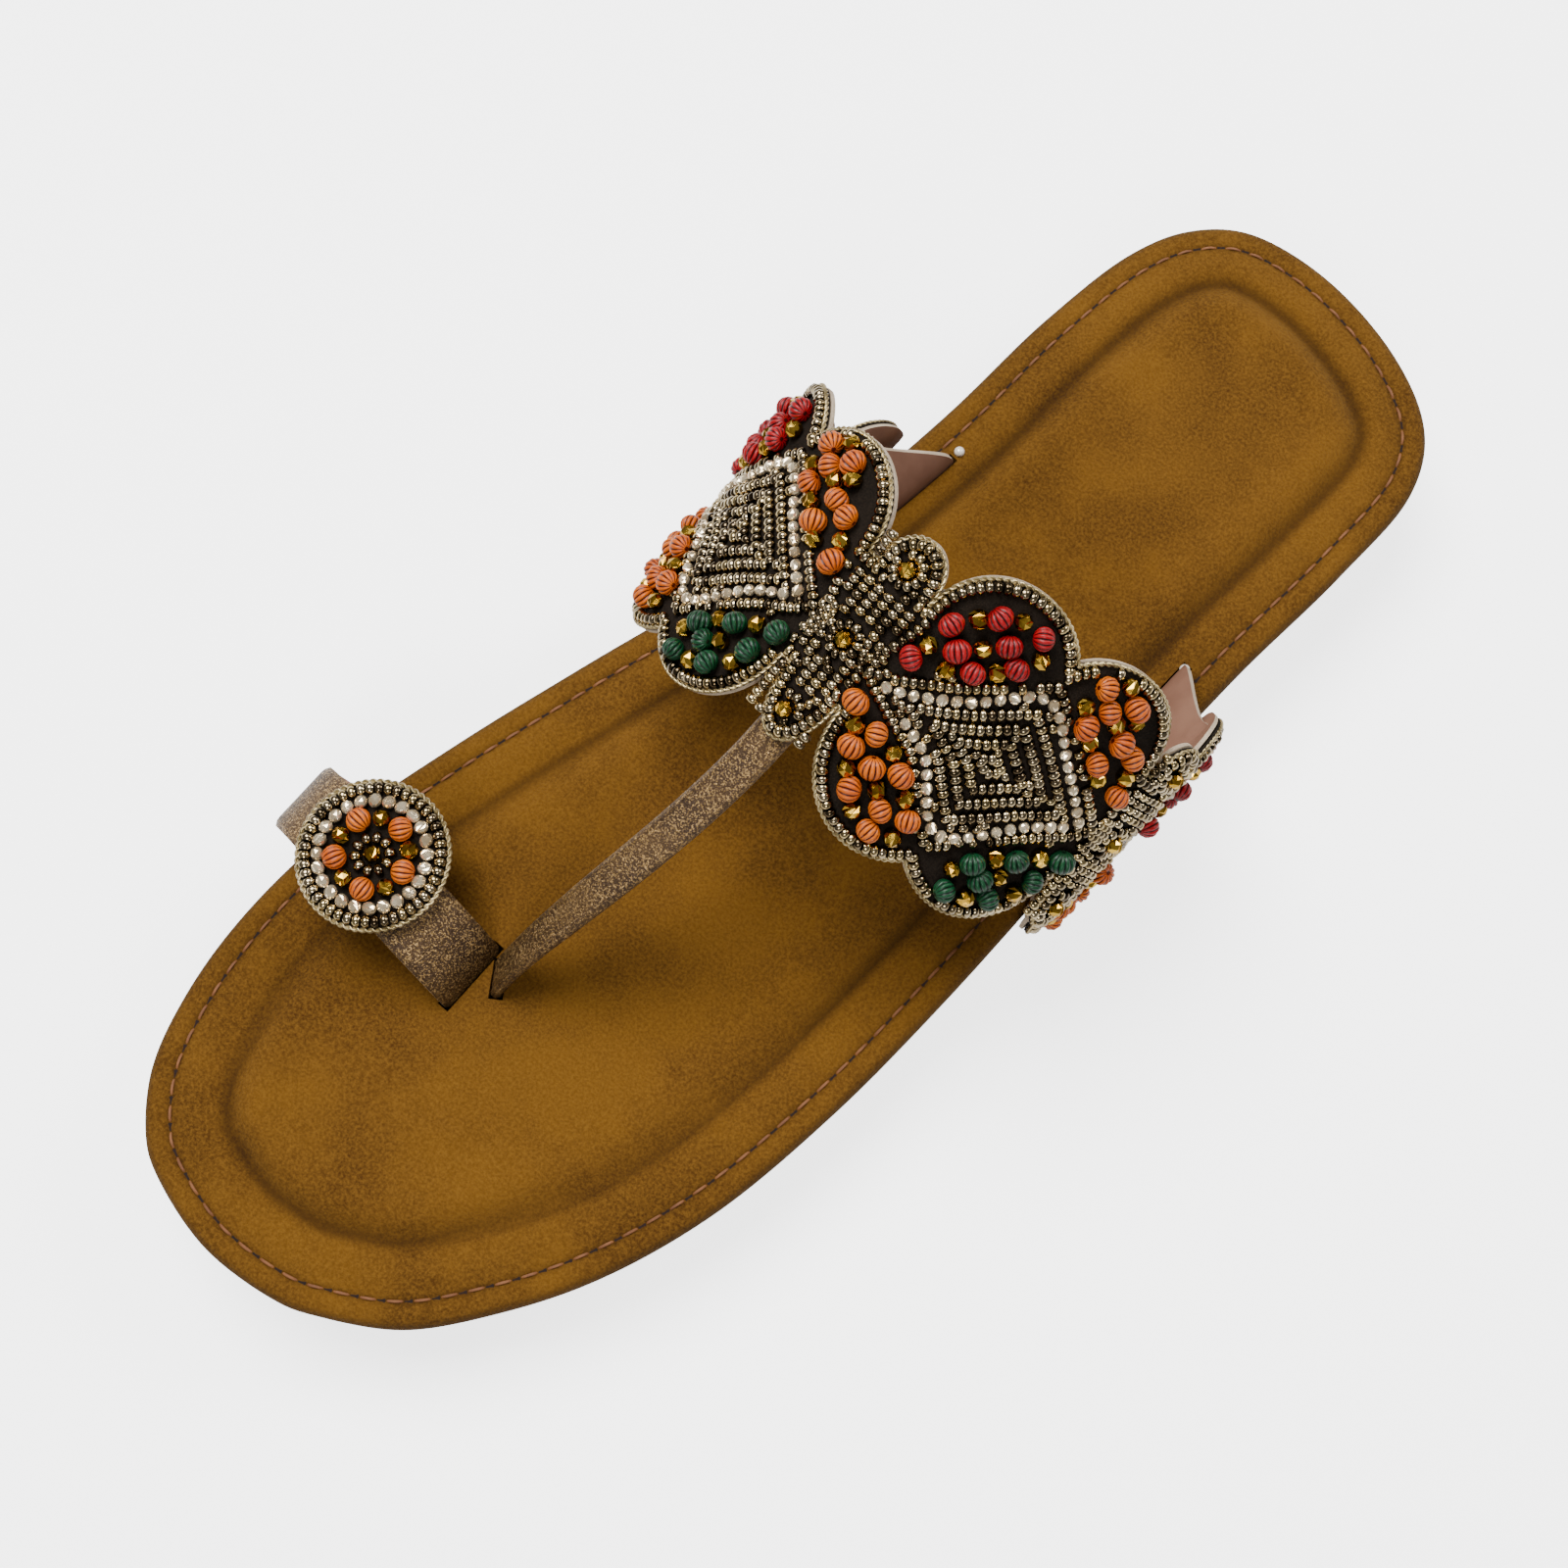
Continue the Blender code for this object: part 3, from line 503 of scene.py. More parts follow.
plated = {
    "seedSilver": {"dark": (0.170, 0.128, 0.070), "light": (0.470, 0.375, 0.225), "metallic": 1.0,
                   "smooth": 0.10, "rough": 0.20},
    "seedGun": {"dark": (0.050, 0.034, 0.017), "light": (0.170, 0.125, 0.068), "metallic": 1.0,
                "smooth": 0.08, "rough": 0.18},
    "seedBrass": {"dark": (0.220, 0.160, 0.074), "light": (0.520, 0.400, 0.200), "metallic": 1.0,
                  "smooth": 0.10, "rough": 0.20},
    "goldFacet": {"dark": (0.280, 0.140, 0.008), "light": (0.620, 0.390, 0.050), "metallic": 1.0,
                  "smooth": 0.08, "rough": 0.20},
    "cordGold": {"dark": (0.200, 0.150, 0.066), "light": (0.480, 0.380, 0.200), "metallic": 0.85,
                 "smooth": 0.28, "rough": 0.44},
    "crystalGem": {"dark": (0.560, 0.430, 0.260), "light": (0.960, 0.820, 0.580), "metallic": 0.80,
                   "smooth": 0.03, "rough": 0.12},
    "pearl": {"dark": (0.640, 0.560, 0.480), "light": (0.820, 0.760, 0.680), "metallic": 0.25,
              "smooth": 0.16, "rough": 0.28},
}
for key, look in plated.items():
    materials[key] = platedMaterial(key, look)


# Melon beads: bright ribs, with painted shade darkening the grooves; the mesh says how deep in a groove a
# point is.
enamel = {"roughness": 0.38, "specular": 0.24, "fineScale": 1400.0, "broadScale": 140.0,
          "ribFrom": 0.25, "ribFull": 0.70, "bump": 0.12, "bumpDistance": 0.0001}


def melonMaterial(name, look):
    material, tree, shader = newMaterial(name, {"Roughness": enamel["roughness"],
                                                "Specular IOR Level": enamel["specular"]})
    grain = placeGrain(tree, objectVector(tree), enamel)
    rib = addNode(tree, "ShaderNodeAttribute", attribute_name="rib")
    painted = mixColors(tree, grain.outputs["Broad"], look["rib"], look["ribLight"])
    # painted shade: the groove colour takes over where the rib attribute is low
    edge = rangeNode(tree, rib.outputs["Fac"], enamel["ribFrom"], enamel["ribFull"])
    tree.links.new(mixColors(tree, edge, look["groove"], painted), shader.inputs["Base Color"])
    bumpInto(tree, shader, grain.outputs["Fine"], enamel)
    return material


melons = {
    # groove: the dark colour of the painted shade in each bead's grooves
    "melonRed": {"rib": (0.190, 0.0003, 0.0025), "ribLight": (0.280, 0.002, 0.005),
                 "groove": (0.016, 0.0003, 0.0005)},
    "melonOrange": {"rib": (0.370, 0.060, 0.0004), "ribLight": (0.480, 0.105, 0.001),
                    "groove": (0.036, 0.0018, 0.0003)},
    "melonGreen": {"rib": (0.0005, 0.022, 0.006), "ribLight": (0.002, 0.042, 0.013),
                   "groove": (0.0003, 0.004, 0.0015)},
}
for key, look in melons.items():
    materials[key] = melonMaterial(key, look)
print("materials:", len(materials))

# Footbed: rolled edge, sunk stitch line, margin, valley and a soft cushion pad.
footbed = {
    "samples": 480,
    # the rolled edge: millimetres in from the outline, drop as a share of the thickness
    "edge": ((2.0, -1.00), (1.0, -0.97), (0.45, -0.88), (0.10, -0.74), (0.0, -0.56), (0.05, -0.38),
             (0.30, -0.22), (0.75, -0.10), (1.35, -0.03), (2.2, 0.0)),
    # millimetres in from the outline: first ring on the top, end of the rings, step between them
    "topRings": (2.7, 12.6, 0.42),
    "capColumns": 26,
    "stitchInset": 4.4 * mm,
    "stitchDepth": 0.30 * mm,
    "stitchWidth": 0.7 * mm,
    "marginCrown": 0.40 * mm,
    "marginPlace": 8.0 * mm,
    "marginWidth": 2.2 * mm,
    "padInset": (11.5 * mm, 13.8 * mm),
    "padLead": 0.3 * mm,
    "padRound": 4.6 * mm,
    "padBulge": 0.55 * mm,
    "bulgePlace": 5.0 * mm,
    "bulgeWidth": 3.2 * mm,
    "valleyDepth": 0.70 * mm,
    "valleyWidth": 1.5 * mm,
}


def padInset(y):
    return footbed["padInset"][0] + (footbed["padInset"][1] - footbed["padInset"][0]) * stationOf(y)


def bedSurface(depth, y):
    inset = padInset(y)
    groove = hump(depth - footbed["stitchInset"], footbed["stitchWidth"]) * footbed["stitchDepth"]
    crown = footbed["marginCrown"] * hump(depth - footbed["marginPlace"], footbed["marginWidth"])
    valley = hump(depth - inset, footbed["valleyWidth"]) * footbed["valleyDepth"]
    pad = last["padStep"] * ease(depth, inset - footbed["padLead"], inset + footbed["padRound"])
    bulge = footbed["padBulge"] * hump(depth - inset - footbed["bulgePlace"], footbed["bulgeWidth"])
    return bedTop(y) + crown - groove - valley + pad + bulge


denseOutline = ring(1600, 0.0)


# Distance in from the footbed's outline for many places at once.
def depthsOf(places):
    places = np.asarray(places, float)
    depths = []
    for start in range(0, len(places), 2000):
        away = places[start:start + 2000, None, :2] - denseOutline[None, :, :]
        depths.append(np.sqrt((away ** 2).sum(axis=2).min(axis=1)))
    return np.concatenate(depths)


def buildFootbed():
    count = footbed["samples"]
    rings = []
    for inset, drop in footbed["edge"]:
        level = ring(count, inset * mm)
        rings.append([(x, y, bedTop(y) + drop * last["footbedThickness"]) for x, y in level])
    for depth in np.arange(*footbed["topRings"]):
        level = ring(count, depth * mm)
        rings.append([(x, y, bedSurface(depth * mm, y)) for x, y in level])
    points, faces = loft(rings)
    # The middle is a grid of rows across, which replaces the loft's flat cap.
    base = len(points) - count
    faces = [face for face in faces if not all(index >= base for index in face)]
    columns = footbed["capColumns"]
    rows = []
    for index in range(1, count // 2 - 1):
        left = base + index
        right = base + count - 1 - index
        start, stop = np.array(points[left]), np.array(points[right])
        places = [start + (stop - start) * step / columns for step in range(1, columns)]
        inner = [(x, y, bedSurface(depth, y)) for (x, y, z), depth in zip(places, depthsOf(places))]
        rows.append([left, *range(len(points), len(points) + len(inner)), right])
        points += inner
    for low, high in zip(rows, rows[1:]):
        faces += [(low[step], low[step + 1], high[step + 1], high[step]) for step in range(columns)]
    half = base + count // 2
    faces.append(tuple([base] + rows[0] + [base + count - 1]))
    faces.append(tuple([half] + rows[-1][::-1] + [half - 1]))
    piece = addPiece("footbedSuede", points, faces, [materials["suede"]], slot="footbed_suede")
    tidyNormals(piece)
    return piece


def slitPoint(side, y, inset):
    sign = 1.0 if side == "medial" else -1.0
    return np.array((edgeX(side, y) + sign * inset, y, bedTop(y)))


slits = {
    "band": {"ends": (0.282, 0.452), "inset": last["slitInset"], "width": 1.8 * mm, "points": 9},
    "loop": {"ends": (0.716, 0.772), "inset": 6.0 * mm, "width": 1.8 * mm, "points": 5},
    # room in a slit beside what goes through it, and the height of the slit's cutter
    "spare": 0.6 * mm,
    "cutterHeight": 9 * mm,
}


def slitLine(side, kind, count):
    start, stop = ((0.5 - end) * last["length"] for end in reversed(slits[kind]["ends"]))
    places = [start + (stop - start) * index / (count - 1) for index in range(count)]
    return [slitPoint(side, y, slits[kind]["inset"]) for y in places]


# Toe fittings: straps and where they enter the footbed.
toe = {
    "strapFoot": (-0.1348 * last["ballWidth"], -0.2504 * last["length"]),
    "strapTurn": math.radians(-53.0),
    "strapWidth": 6.2 * mm,
    "strapThickness": 1.8 * mm,
    "strapLap": 8.5 * mm,
    # how far each end of the strap runs straight, as a share of its span, and where it twists
    "strapLeave": 0.33,
    "strapArrive": 0.32,
    "strapRise": (0.12, 0.45, 0.88),
    "strapTwist": (0.28, 0.90),
    "loopFoot": (-0.1740 * last["ballWidth"], -0.2615 * last["length"]),
    "loopCentre": -0.256 * last["length"],
    "loopAcross": (-0.06, 1.0, 0.0),
    "loopWidth": 13.0 * mm,
    "loopThickness": 1.6 * mm,
    "loopRise": 12.2 * mm,
    "loopTabRoot": 0.36,
    # across as a share of the span from slit to edge, height as a share of the rise
    "loopRows": ((0.000, -0.130), (0.003, 0.120), (0.070, 0.500), (0.245, 0.880), (0.440, 1.000),
                 (0.840, 1.000), (1.034, 0.820), (1.150, 0.420), (1.140, -0.050), (1.082, -0.430)),
    "medallionAcross": 0.630,
    "medallionPlace": -0.2516 * last["length"],
}


def strapAcross(turn):
    return np.array((math.cos(turn), math.sin(turn), 0.0))


# A slit's cutter: an upright strip along the slit's line.
def slitCutter(line, width):
    outer = []
    inner = []
    for index, point in enumerate(line):
        ahead = line[min(index + 1, len(line) - 1)] - line[max(index - 1, 0)]
        side = np.array((ahead[1], -ahead[0])) / np.linalg.norm(ahead[:2])
        low = bedTop(point[1]) - last["slitDepth"]
        for grid, sign in ((outer, 0.5), (inner, -0.5)):
            x, y = point[:2] + side * width * sign
            grid.append([np.array((x, y, low)), np.array((x, y, low + slits["cutterHeight"]))])
    points, faces, kinds = wall(outer, inner)
    mesh = bpy.data.meshes.new("slitCutter")
    mesh.from_pydata((np.array(points) + shift).tolist(), [], faces)
    cutter = bpy.data.objects.new("slitCutter", mesh)
    bpy.context.collection.objects.link(cutter)
    edit = bmesh.new()
    edit.from_mesh(mesh)
    bmesh.ops.recalc_face_normals(edit, faces=edit.faces)
    edit.to_mesh(mesh)
    edit.free()
    return cutter


def cutSlits(piece):
    lines = []
    for side, kind in (("medial", "band"), ("lateral", "band"), ("medial", "loop")):
        lines.append((slitLine(side, kind, slits[kind]["points"]), slits[kind]["width"]))
    for kind, across in (("loop", np.array(toe["loopAcross"])), ("strap", strapAcross(toe["strapTurn"]))):
        half = toe[kind + "Width"] / 2 + last["gap"]
        foot = np.array((*toe[kind + "Foot"], 0.0))
        lines.append(([foot - across * half, foot + across * half],
                      toe[kind + "Thickness"] + slits["spare"]))
    cutters = [slitCutter(line, width) for line, width in lines]
    for cutter in cutters:
        cut = piece.modifiers.new("slit", "BOOLEAN")
        cut.operation = "DIFFERENCE"
        cut.object = cutter
    bpy.context.view_layer.update()
    shape = bpy.data.meshes.new_from_object(piece.evaluated_get(bpy.context.evaluated_depsgraph_get()))
    piece.modifiers.clear()
    piece.data = shape
    shape.shade_smooth()
    shape.set_sharp_from_angle(angle=math.radians(45.0))
    for cutter in cutters:
        bpy.data.objects.remove(cutter)


# Painted shade on the suede: how dark it is made where shade falls, in the crease round the pad, in the sewn
# groove, on the rolled edge and down the side.
paintedShading = {
    "creaseOut": 0.2 * mm,
    "creaseWidth": 1.15 * mm,
    "grooveShade": 0.75,
    "grooveWidth": 0.55 * mm,
    "rolledShade": 0.85,
    "rolledWidth": 1.6 * mm,
    # heights against the footbed's top: fully dark below the first, no darker above the second
    "sideFrom": -2.8 * mm,
    "sideTo": -1.0 * mm,
}


# Painted shade: each point of the suede gets how much shade is painted on it, from the crease, the groove,
# the rolled edge and the side.
def shadeSuede(piece):
    spots = np.array([vertex.co for vertex in piece.data.vertices]) - shift
    shades = []
    for (x, y, z), depth in zip(spots, depthsOf(spots)):
        crease = hump(depth - padInset(y) + paintedShading["creaseOut"], paintedShading["creaseWidth"])
        groove = paintedShading["grooveShade"] * hump(depth - footbed["stitchInset"], paintedShading["grooveWidth"])
        rolled = paintedShading["rolledShade"] * (1.0 - ease(depth, 0.0, paintedShading["rolledWidth"]))
        below = 1.0 - ease(z - bedTop(y), paintedShading["sideFrom"], paintedShading["sideTo"])
        shades.append(min(max(crease, groove, rolled, below), 1.0))
    layer = piece.data.attributes.new("shade", "FLOAT", "POINT")
    layer.data.foreach_set("value", np.array(shades, np.float32))


suedePiece = buildFootbed()
cutSlits(suedePiece)
shadeSuede(suedePiece)
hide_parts("footbed")
print("footbed:", len(suedePiece.data.polygons), "faces")

# Outsole: smooth rim, recessed wall with bars, squared lugs, finer ribs round the toe.
outsole = {
    "lugs": 72,
    "samplesPerLug": 16,
    "grooveDepth": 1.2 * mm,
    "setback": 1.0 * mm,
    "toeRibsFrom": 0.93,
    # shares of a lug's pitch between which its side rises, under the sole and round the toe
    "lugSide": (0.235, 0.285),
    "toeRibSide": (0.22, 0.32),
    # where the waist begins and ends on the inner side, as stations
    "waist": (0.24, 0.36, 0.46, 0.62),
    # setback, step between lugs, height above the underside, depth below the top, groove share
    "levels": (
        (16.0, 0.0, 1.6, None, 0.0), (9.0, 0.0, 1.6, None, 0.0), (8.4, 0.0, 0.0, None, 0.0),
        (3.0, 0.0, 0.0, None, 1.0), (1.25, 1.4, 0.0, None, 1.0), (0.85, 1.4, 0.45, None, 0.8),
        (0.70, 1.4, 2.2, None, 0.2), (0.60, 1.4, 4.4, None, 0.0), (0.80, 1.3, 4.9, None, 0.0),
        (1.35, 0.8, 5.3, None, 0.0), (1.75, 0.7, 5.8, None, 0.0), (1.80, 0.75, None, 5.2, 0.0),
        (1.75, 0.75, None, 4.2, 0.0), (1.50, 0.45, None, 3.75, 0.0), (0.70, 0.0, None, 3.35, 0.0),
        (0.30, 0.0, None, 3.0, 0.0), (0.02, 0.0, None, 2.3, 0.0), (0.0, 0.0, None, 1.4, 0.0),
        (0.12, 0.0, None, 0.6, 0.0), (0.50, 0.0, None, 0.12, 0.0), (1.1, 0.0, None, 0.0, 0.0)),
}


def waistInset(y, lateral):
    if lateral:
        return 0.0
    share = stationOf(y)
    deepens, deepest, shallows, ends = outsole["waist"]
    return last["waistInset"] * ease(share, deepens, deepest) * (1.0 - ease(share, shallows, ends))


def lugShare(index, y):
    place = (index + 0.5) / outsole["samplesPerLug"]
    if stationOf(y) > outsole["toeRibsFrom"]:
        return 1.0 - ease(abs(place * 2.0 - round(place * 2.0)), *outsole["toeRibSide"])
    return 1.0 - ease(abs(place - round(place)), *outsole["lugSide"])


def buildOutsole():
    count = outsole["lugs"] * outsole["samplesPerLug"]
    lugs = [lugShare(index, y) for index, (x, y) in enumerate(ring(count, 0.0))]
    rings = []
    for setback, step, above, below, groove in outsole["levels"]:
        def depth(index, point):
            waist = waistInset(point[1], index < count // 2)
            return outsole["setback"] + setback * mm + waist + (1.0 - lugs[index]) * step * mm
        level = []
        for index, (x, y) in enumerate(ring(count, depth)):
            if above is None:
                z = bedTop(y) - last["footbedThickness"] - last["gap"] - below * mm
            else:
                z = soleBottom(y, index < count // 2) + above * mm
                z += (1.0 - lugs[index]) * groove * outsole["grooveDepth"]
            level.append((x, y, z))
        rings.append(level)
    points, faces = loft(rings)
    piece = addPiece("outsoleRubber", points, faces, [materials["rubber"]], smoothAngle=32.0,
                     slot="outsole_rubber")
    tidyNormals(piece)
    return piece


rubberPiece = buildOutsole()
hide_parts("outsole")
print("outsole:", len(rubberPiece.data.polygons), "faces")

# Band over the instep. Strip coordinates: place along the strip, width towards the heel.
band = {
    "tilt": math.radians(23.0),
    "apex": 53.5 * mm,
    "wallDepth": 1.5 * mm,
    "seedRise": 2.0 * mm,
    "seedSink": 0.5 * mm,
    "sideClearance": 0.6 * mm,
    # heights above the footbed between which the strip leaves the sole's edge for the arch
    "endsFollow": (3.5 * mm, 20.0 * mm),
    "tabThickness": 1.2 * mm,
    "tabRows": (3, 15),
    # a tab's curl: where it leaves the wall and enters the slit as shares of its drop, its swell
    "tabLeave": 0.28,
    "tabArrive": 0.22,
    "tabSwell": 1.5,
    "pitch": 60.0 * mm,
    "centre": (-0.0163 * last["ballWidth"], 0.020 * last["length"]),
    "ends": (-0.913 * last["ballWidth"], 0.957 * last["ballWidth"]),
    "tabPlaces": {"medial": -0.760 * last["ballWidth"], "lateral": 0.826 * last["ballWidth"]},
    "columns": 361,
    # half the length and width of the strip's map, and its points both ways
    "mapReach": (0.0905, 0.0275),
    "mapPoints": (242, 56),
    "clothRise": 0.20 * mm,
    # depth below the strip's face: underside of the beaded cloth, then of the lining
    "clothDepth": 0.50 * mm,
    "liningDepth": 1.45 * mm,
    "liningGap": 0.02 * mm,
    "liningReach": 0.12 * mm,
    # the rims round off by this much, over this share of the width
    "rimRound": 0.15 * mm,
    "rimShare": 0.02,
    # place along the strip as a share of the ball width, slope in degrees
    "arch": (
        (-0.978, 96.0), (-0.815, 103.8), (-0.652, 100.2), (-0.489, 69.6), (-0.326, 39.8), (-0.163, 26.2),
        (0.000, 4.4), (0.163, -20.8), (0.326, -32.2), (0.489, -43.8), (0.652, -69.8), (0.815, -98.1),
        (0.978, -93.0)),
    # lobe centre and half width as shares of the pitch, root and tip across the strip
    "heelLobes": ((0.015, 0.092, 13.0 * mm, 19.0 * mm), (0.325, 0.217, 12.0 * mm, 23.6 * mm),
                  (0.675, 0.217, 12.0 * mm, 23.6 * mm)),
    "toeLobes": ((0.010, 0.088, 8.8 * mm, 17.9 * mm), (0.350, 0.243, 8.0 * mm, 23.1 * mm),
                 (0.650, 0.243, 8.0 * mm, 23.1 * mm)),
}


def archProfile():
    table = splinePath(band["arch"], 24)
    places = np.linspace(band["arch"][0][0], band["arch"][-1][0], 181)
    slope = np.interp(places, table[:, 0], np.radians(table[:, 1]))
    step = (places[1] - places[0]) * last["ballWidth"]
    across = np.r_[0.0, np.cumsum((np.cos(slope[1:]) + np.cos(slope[:-1])) / 2 * step)]
    height = np.r_[0.0, np.cumsum((np.sin(slope[1:]) + np.sin(slope[:-1])) / 2 * step)]
    across -= np.interp(0.0, places, across)
    height -= np.interp(0.0, places, height)
    depth = band["seedRise"] + band["seedSink"]
    return places * last["ballWidth"], across + np.sin(slope) * depth, height - np.cos(slope) * depth


profile = archProfile()


def bandPoint(place, width):
    across = np.interp(place, profile[0], profile[1])
    height = np.interp(place, profile[0], profile[2])
    y = band["centre"][1] - height * math.sin(band["tilt"]) + width * math.cos(band["tilt"])
    apex = bedTop(band["centre"][1]) + band["apex"]
    z = apex + height * math.cos(band["tilt"]) + width * math.sin(band["tilt"])
    x = band["centre"][0] + across
    reach = band["sideClearance"] + band["wallDepth"]
    beside = edgeX("lateral", y) + reach if place > 0 else edgeX("medial", y) - reach
    follow = 1.0 - ease(z, *(bedTop(y) + height for height in band["endsFollow"]))
    return np.array((x + (beside - x) * follow, y, z))


# Cloth points and normals kept on a grid, read back anywhere on the strip.
class StripMap:

    def __init__(self):
        length, width = band["mapReach"]
        self.places = np.linspace(-length, length, band["mapPoints"][0])
        self.widths = np.linspace(-width, width, band["mapPoints"][1])
        grid = np.array([[bandPoint(place, width) for width in self.widths] for place in self.places])
        along = np.gradient(grid, self.places, axis=0)
        over = np.gradient(grid, self.widths, axis=1)
        normal = np.cross(along, over)
        self.grid = grid
        self.normal = normal / np.linalg.norm(normal, axis=2)[:, :, None]

    def read(self, table, place, width):
        i = np.interp(place, self.places, np.arange(len(self.places)))
        j = np.interp(width, self.widths, np.arange(len(self.widths)))
        i0 = min(int(i), len(self.places) - 2)
        j0 = min(int(j), len(self.widths) - 2)
        u = i - i0
        v = j - j0
        return ((table[i0, j0] * (1 - u) + table[i0 + 1, j0] * u) * (1 - v)
                + (table[i0, j0 + 1] * (1 - u) + table[i0 + 1, j0 + 1] * u) * v)

    def point(self, place, width, lift=0.0):
        normal = self.read(self.normal, place, width)
        normal = normal / np.linalg.norm(normal)
        return self.read(self.grid, place, width) + normal * lift, normal


strip = StripMap()


def scallop(place, lobes, inward=0.0):
    best = min(lobe[2] for lobe in lobes) - inward
    for centre, halfWidth, root, tip in lobes:
        half = halfWidth * band["pitch"] - inward
        away = ((place / band["pitch"] - centre + 0.5) % 1.0 - 0.5) * band["pitch"]
        if abs(away) < half:
            arch = math.sqrt(1 - (away / half) ** 2)
            best = max(best, root - inward * 0.5 + (tip - root - inward * 0.5) * arch)
    return best


def curl(start, leave, arrive, end, steps):
    samples = []
    for index in range(1, steps + 1):
        t = index / steps
        weights = ((1 - t) ** 3, 3 * t * (1 - t) ** 2, 3 * t * t * (1 - t), t ** 3)
        samples.append(sum(w * p for w, p in zip(weights, (start, leave, arrive, end))))
    return samples


def tabSections(roots, feet, outOfWall, thickness, steps=14):
    lines = []
    up = np.array((0.0, 0.0, 1.0))
    for root, foot in zip(roots, feet):
        mouth = foot + up * (last["slitDepth"] + last["gap"])
        drop = root[2] - mouth[2]
        above = mouth + up * (band["tabArrive"] * drop + thickness)
        leave = root - up * band["tabLeave"] * drop + outOfWall * thickness * band["tabSwell"]
        lines.append([root] + curl(root, leave, above, mouth, steps) + [foot])
    sections = []
    for step in range(1, steps + 2):
        section = []
        for line in lines:
            ahead = line[step + 1] - line[step - 1] if step < steps else -up
            face = np.cross(ahead, feet[-1] - feet[0])
            face *= thickness * 0.5 / np.linalg.norm(face)
            if np.dot(face, outOfWall) < 0:
                face = -face
            section.append((line[step] + face, line[step] - face))
        sections.append(section)
    return sections


def slitFeet(line):
    path = splinePath(line, 8)
    spare = slits["spare"] / pathLength(path)
    shares = [spare + (1.0 - 2.0 * spare) * index / (len(line) - 1) for index in range(len(line))]
    feet = resamplePath(path, shares)
    feet[:, 2] -= last["slitDepth"] - last["gap"]
    return [np.array(foot) for foot in feet]


def stripGrids(topLift, bottomLift, reach):
    shares = (0.0, 0.012, 0.04, 0.09, 0.15, 0.22, 0.30, 0.39, 0.48, 0.57, 0.66, 0.74, 0.82, 0.88, 0.93,
              0.97, 0.99, 1.0)
    places = np.linspace(band["ends"][0] - reach, band["ends"][1] + reach, band["columns"])
    outer = []
    inner = []
    for place in places:
        low = -scallop(place, band["toeLobes"], -reach)
        high = scallop(place, band["heelLobes"], -reach)
        outside = []
        inside = []
        for share in shares:
            width = low + (high - low) * share
            rounding = band["rimRound"] * (1.0 - ease(min(share, 1.0 - share), 0.0, band["rimShare"]))
            outside.append(strip.point(place, width, topLift - rounding)[0])
            inside.append(strip.point(place, width, bottomLift + rounding)[0])
        outer.append(outside)
        inner.append(inside)
    return places, outer, inner


def buildBandCloth():
    places, outer, inner = stripGrids(band["clothRise"], -band["clothDepth"], 0.0)
    points, faces, kinds = wall(outer, inner)
    piece = addPiece("bandCloth", points, faces, [materials["blackCloth"]], slot="band_beadwork")
    tidyNormals(piece)
    return piece


def buildBandLining():
    top = -band["clothDepth"] - band["liningGap"]
    places, outer, inner = stripGrids(top, -band["liningDepth"], band["liningReach"])
    first, final = band["tabRows"]
    tabs = []
    for side, sign in (("medial", -1.0), ("lateral", 1.0)):
        column = int(np.argmin(np.abs(places - band["tabPlaces"][side])))
        roots = [(inner[column][row] + inner[column + 1][row]) / 2 for row in range(first, final + 1)]
        feet = slitFeet(slitLine(side, "band", len(roots)))
        sections = tabSections(roots, feet, np.array((-sign, 0.0, 0.0)), band["tabThickness"])
        if side == "medial":
            sections = [[pair[::-1] for pair in section] for section in sections]
        tabs.append({"column": column, "first": first, "last": final, "sections": sections})
    points, faces, kinds = wall(outer, inner, tabs)
    piece = addPiece("bandLining", points, faces,
                     [materials["liningEdge"], materials["lining"], materials["liningEdge"]], kinds,
                     slot="band_beadwork")
    tidyNormals(piece)
    return piece


clothPiece = buildBandCloth()
liningPiece = buildBandLining()
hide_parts("vamp_band")
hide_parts("vamp_band")
print("band cloth:", len(clothPiece.data.polygons), "faces")


# Bead shapes, about one unit across: points, faces, and how near each point is to a rib's crest.
def turnedShape(profileRows, segments, twist=0.0, ribs=0, ribDepth=0.0):
    points = []
    crest = []
    for level, (radius, along) in enumerate(profileRows):
        for index in range(segments):
            angle = math.tau * (index + twist * (level % 2)) / segments
            rib = 1.0
            if ribs:
                rib = abs(math.cos(angle * ribs / 2.0)) ** 0.7
            reach = radius * (1.0 - ribDepth * (1.0 - rib))
            points.append((reach * math.cos(angle), reach * math.sin(angle), along))
            crest.append(rib)
    return np.array(points), tubeFaces(0, len(profileRows), segments), np.array(crest)


def roundRows(count, squeeze, hole):
    rows = []
    for index in range(count):
        angle = -math.pi / 2 + math.pi * (index + 0.5) / count
        rows.append((max(math.cos(angle), hole) * 0.5, math.sin(angle) * 0.5 * squeeze))
    return rows


shapes = {
    "seed": turnedShape([(0.20, -0.38), (0.36, -0.47), (0.47, -0.26), (0.50, 0.0), (0.47, 0.26),
                         (0.36, 0.47), (0.20, 0.38)], 8),
    "melon": turnedShape(roundRows(8, 0.96, 0.20), 48, ribs=12, ribDepth=0.16),
    "facet": turnedShape(roundRows(5, 0.92, 0.12), 8, twist=0.5),
    "crystal": turnedShape(roundRows(6, 0.85, 0.10), 9, twist=0.5),
}


